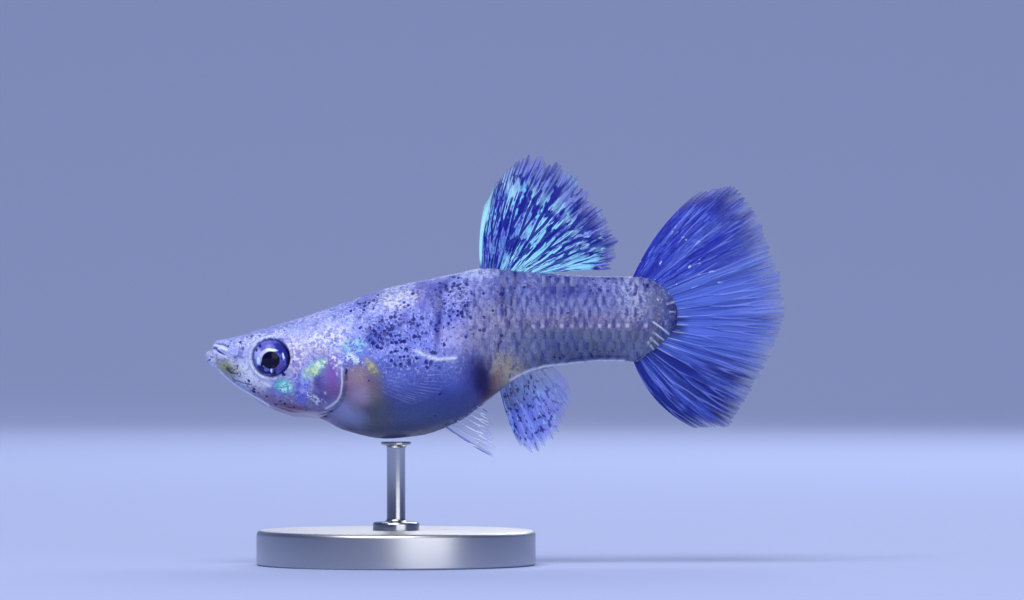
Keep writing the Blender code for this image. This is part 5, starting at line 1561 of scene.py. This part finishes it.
def aluminium_material():
    """Satin anodised aluminium, lathe turned: fine rings about the axis, 0.2 mm apart so that they show."""
    finish = {"Base Color": linear("#c6c8cc"), "Metallic": 1.0}
    material, tree, shader = new_material("satin_anodised_aluminium", finish)
    place = add(tree, "TexCoord")["Object"]
    to_axis = (-(SNOUT_X + STAND_X), 0.0, 0.0)
    from_axis = add(tree, "VectorMath", (place, (1 / MM, 1 / MM, 0.0), to_axis), operation="MULTIPLY_ADD")[0]
    radius = add(tree, "VectorMath", (from_axis,), operation="LENGTH")[1]
    line = add(tree, "CombineXYZ", (radius,))[0]
    rings = add(tree, "TexNoise", {"Vector": line, "Scale": 5.0, "Detail": 4.0, "Roughness": 0.7})["Fac"]
    haze = add(tree, "TexNoise", {"Vector": place, "Scale": 180.0, "Detail": 3.0})["Fac"]
    rough = add(tree, "MapRange", {"Value": haze, "To Min": 0.30, "To Max": 0.42})[0]
    tree.links.new(rough, shader["Roughness"])
    relief = add(tree, "Bump", {"Height": rings, "Distance": 0.00003, "Strength": 0.6})
    tree.links.new(relief[0], shader["Normal"])
    return material


def steel_material():
    """Polished stainless steel: bright, with faint rings left by turning, 0.15 mm apart."""
    finish = {"Base Color": linear("#b4b6ba"), "Metallic": 1.0}
    material, tree, shader = new_material("polished_stainless_steel", finish)
    place = add(tree, "TexCoord")["Object"]
    height = add(tree, "SeparateXYZ", (place,))[2]
    line = add(tree, "CombineXYZ", {2: mask(tree, height, 1 / MM)})[0]
    rings = add(tree, "TexNoise", {"Vector": line, "Scale": 6.0, "Detail": 3.0})["Fac"]
    rough = add(tree, "MapRange", {"Value": rings, "To Min": 0.16, "To Max": 0.26})[0]
    tree.links.new(rough, shader["Roughness"])
    return material


def make_fins():
    """All the fins: the three on the fish's middle lean to the right, and the paired ones spread."""
    make_fin("dorsal_fin", DORSAL_RAYS, DORSAL_BUILD, dorsal_material(), "marbled_fin", 1)
    make_fin("anal_fin", ANAL_RAYS, ANAL_BUILD, anal_material(), "clear_fin", 2)
    make_fin("caudal_fin", tail_rays(), TAIL_BUILD, tail_material(), "blue_fin", 3)
    pectoral = clear_fin_material("clear_pectoral_membrane", "#c9d2fb", 0.02, 0.07, 0.03)
    pelvic = clear_fin_material("clear_pelvic_membrane", "#f2f6ff", 0.05, 1.0, 0.6)
    for side, hand in ((-1, "left"), (1, "right")):
        make_fin(f"pectoral_fin_{hand}", PECTORAL_RAYS, PECTORAL_BUILD, pectoral, "clear_fin", 4 + side, side)
        make_fin(f"pelvic_fin_{hand}", PELVIC_RAYS, PELVIC_BUILD, pelvic, "clear_fin", 8 + side, side)


def make_backdrop():
    """A pale floor that sweeps up into walls all round, past the reach of any view."""
    rise = WALL_RADIUS - FLOOR_RADIUS
    profile = [(FLOOR_HOLE, 0.0), (FLOOR_RADIUS / 2, 0.0)]
    profile += [*quarter(FLOOR_RADIUS, 0, rise, -rise, SWEEP_STEPS), (WALL_RADIUS, WALL_HEIGHT)]
    sweep = make_mesh("studio_sweep", *spun(profile, SWEEP_SIDES))
    # Seamless background paper is matt, so it mirrors nothing of the fish.
    matt = {"Base Color": linear("#a3b0da"), "Roughness": 0.9, "Specular IOR Level": 0.2}
    sweep.data.materials.append(new_material("pale_sweep_paper", matt)[0])


def light_scene():
    """Plain soft studio light, most of it from above and in front."""
    for name, place, target, size, power in LAMPS:
        lamp = bpy.data.lights.new(name, "AREA")
        lamp.shape = "RECTANGLE"
        lamp.size, lamp.size_y = size
        lamp.energy = power
        obj = bpy.data.objects.new(name, lamp)
        obj.location = place
        obj.rotation_euler = (Vector(target) - Vector(place)).to_track_quat("-Z", "Y").to_euler()
        obj.visible_camera = False
        bpy.context.scene.collection.objects.link(obj)
    world = bpy.data.worlds.new("studio")
    bpy.context.scene.world = world
    world.use_nodes = True
    background = world.node_tree.nodes["Background"].inputs
    background["Color"].default_value = linear(ROOM_LIGHT)
    background["Strength"].default_value = ROOM_STRENGTH
    bpy.context.scene.view_settings.view_transform = "Standard"


def place_camera():
    """A level camera square to the fish's left side, framed as in the photograph."""
    centre_x = SNOUT_X + (FRAME_WIDTH / 2 - JAW_TIP_PX) * PIXEL
    centre_z = AXIS_Z + (AXIS_PY - FRAME_HEIGHT / 2) * PIXEL
    camera = bpy.data.cameras.new("camera")
    camera.sensor_width = SENSOR_WIDTH
    camera.lens = SENSOR_WIDTH * CAMERA_DISTANCE / (FRAME_WIDTH * PIXEL)
    camera.clip_start, camera.clip_end = CLIP
    obj = bpy.data.objects.new("camera", camera)
    obj.location = (centre_x * MM, -CAMERA_DISTANCE * MM, centre_z * MM)
    obj.rotation_euler = (math.pi / 2, 0, 0)
    bpy.context.scene.collection.objects.link(obj)
    bpy.context.scene.camera = obj


def main():
    """The guppy and its stand, in a plain studio."""
    place_camera()
    make_backdrop()
    light_scene()
    girth = Girth()
    make_skin(skin_material(), girth)
    scales = scale_material()
    for side in (-1, 1):
        scale_coat(side, girth, scales)
    eye = eye_material()
    make_eye(-1, "eye_left", eye)
    make_eye(1, "eye_right", eye)
    make_fins()
    make_stand(aluminium_material(), steel_material())


main()
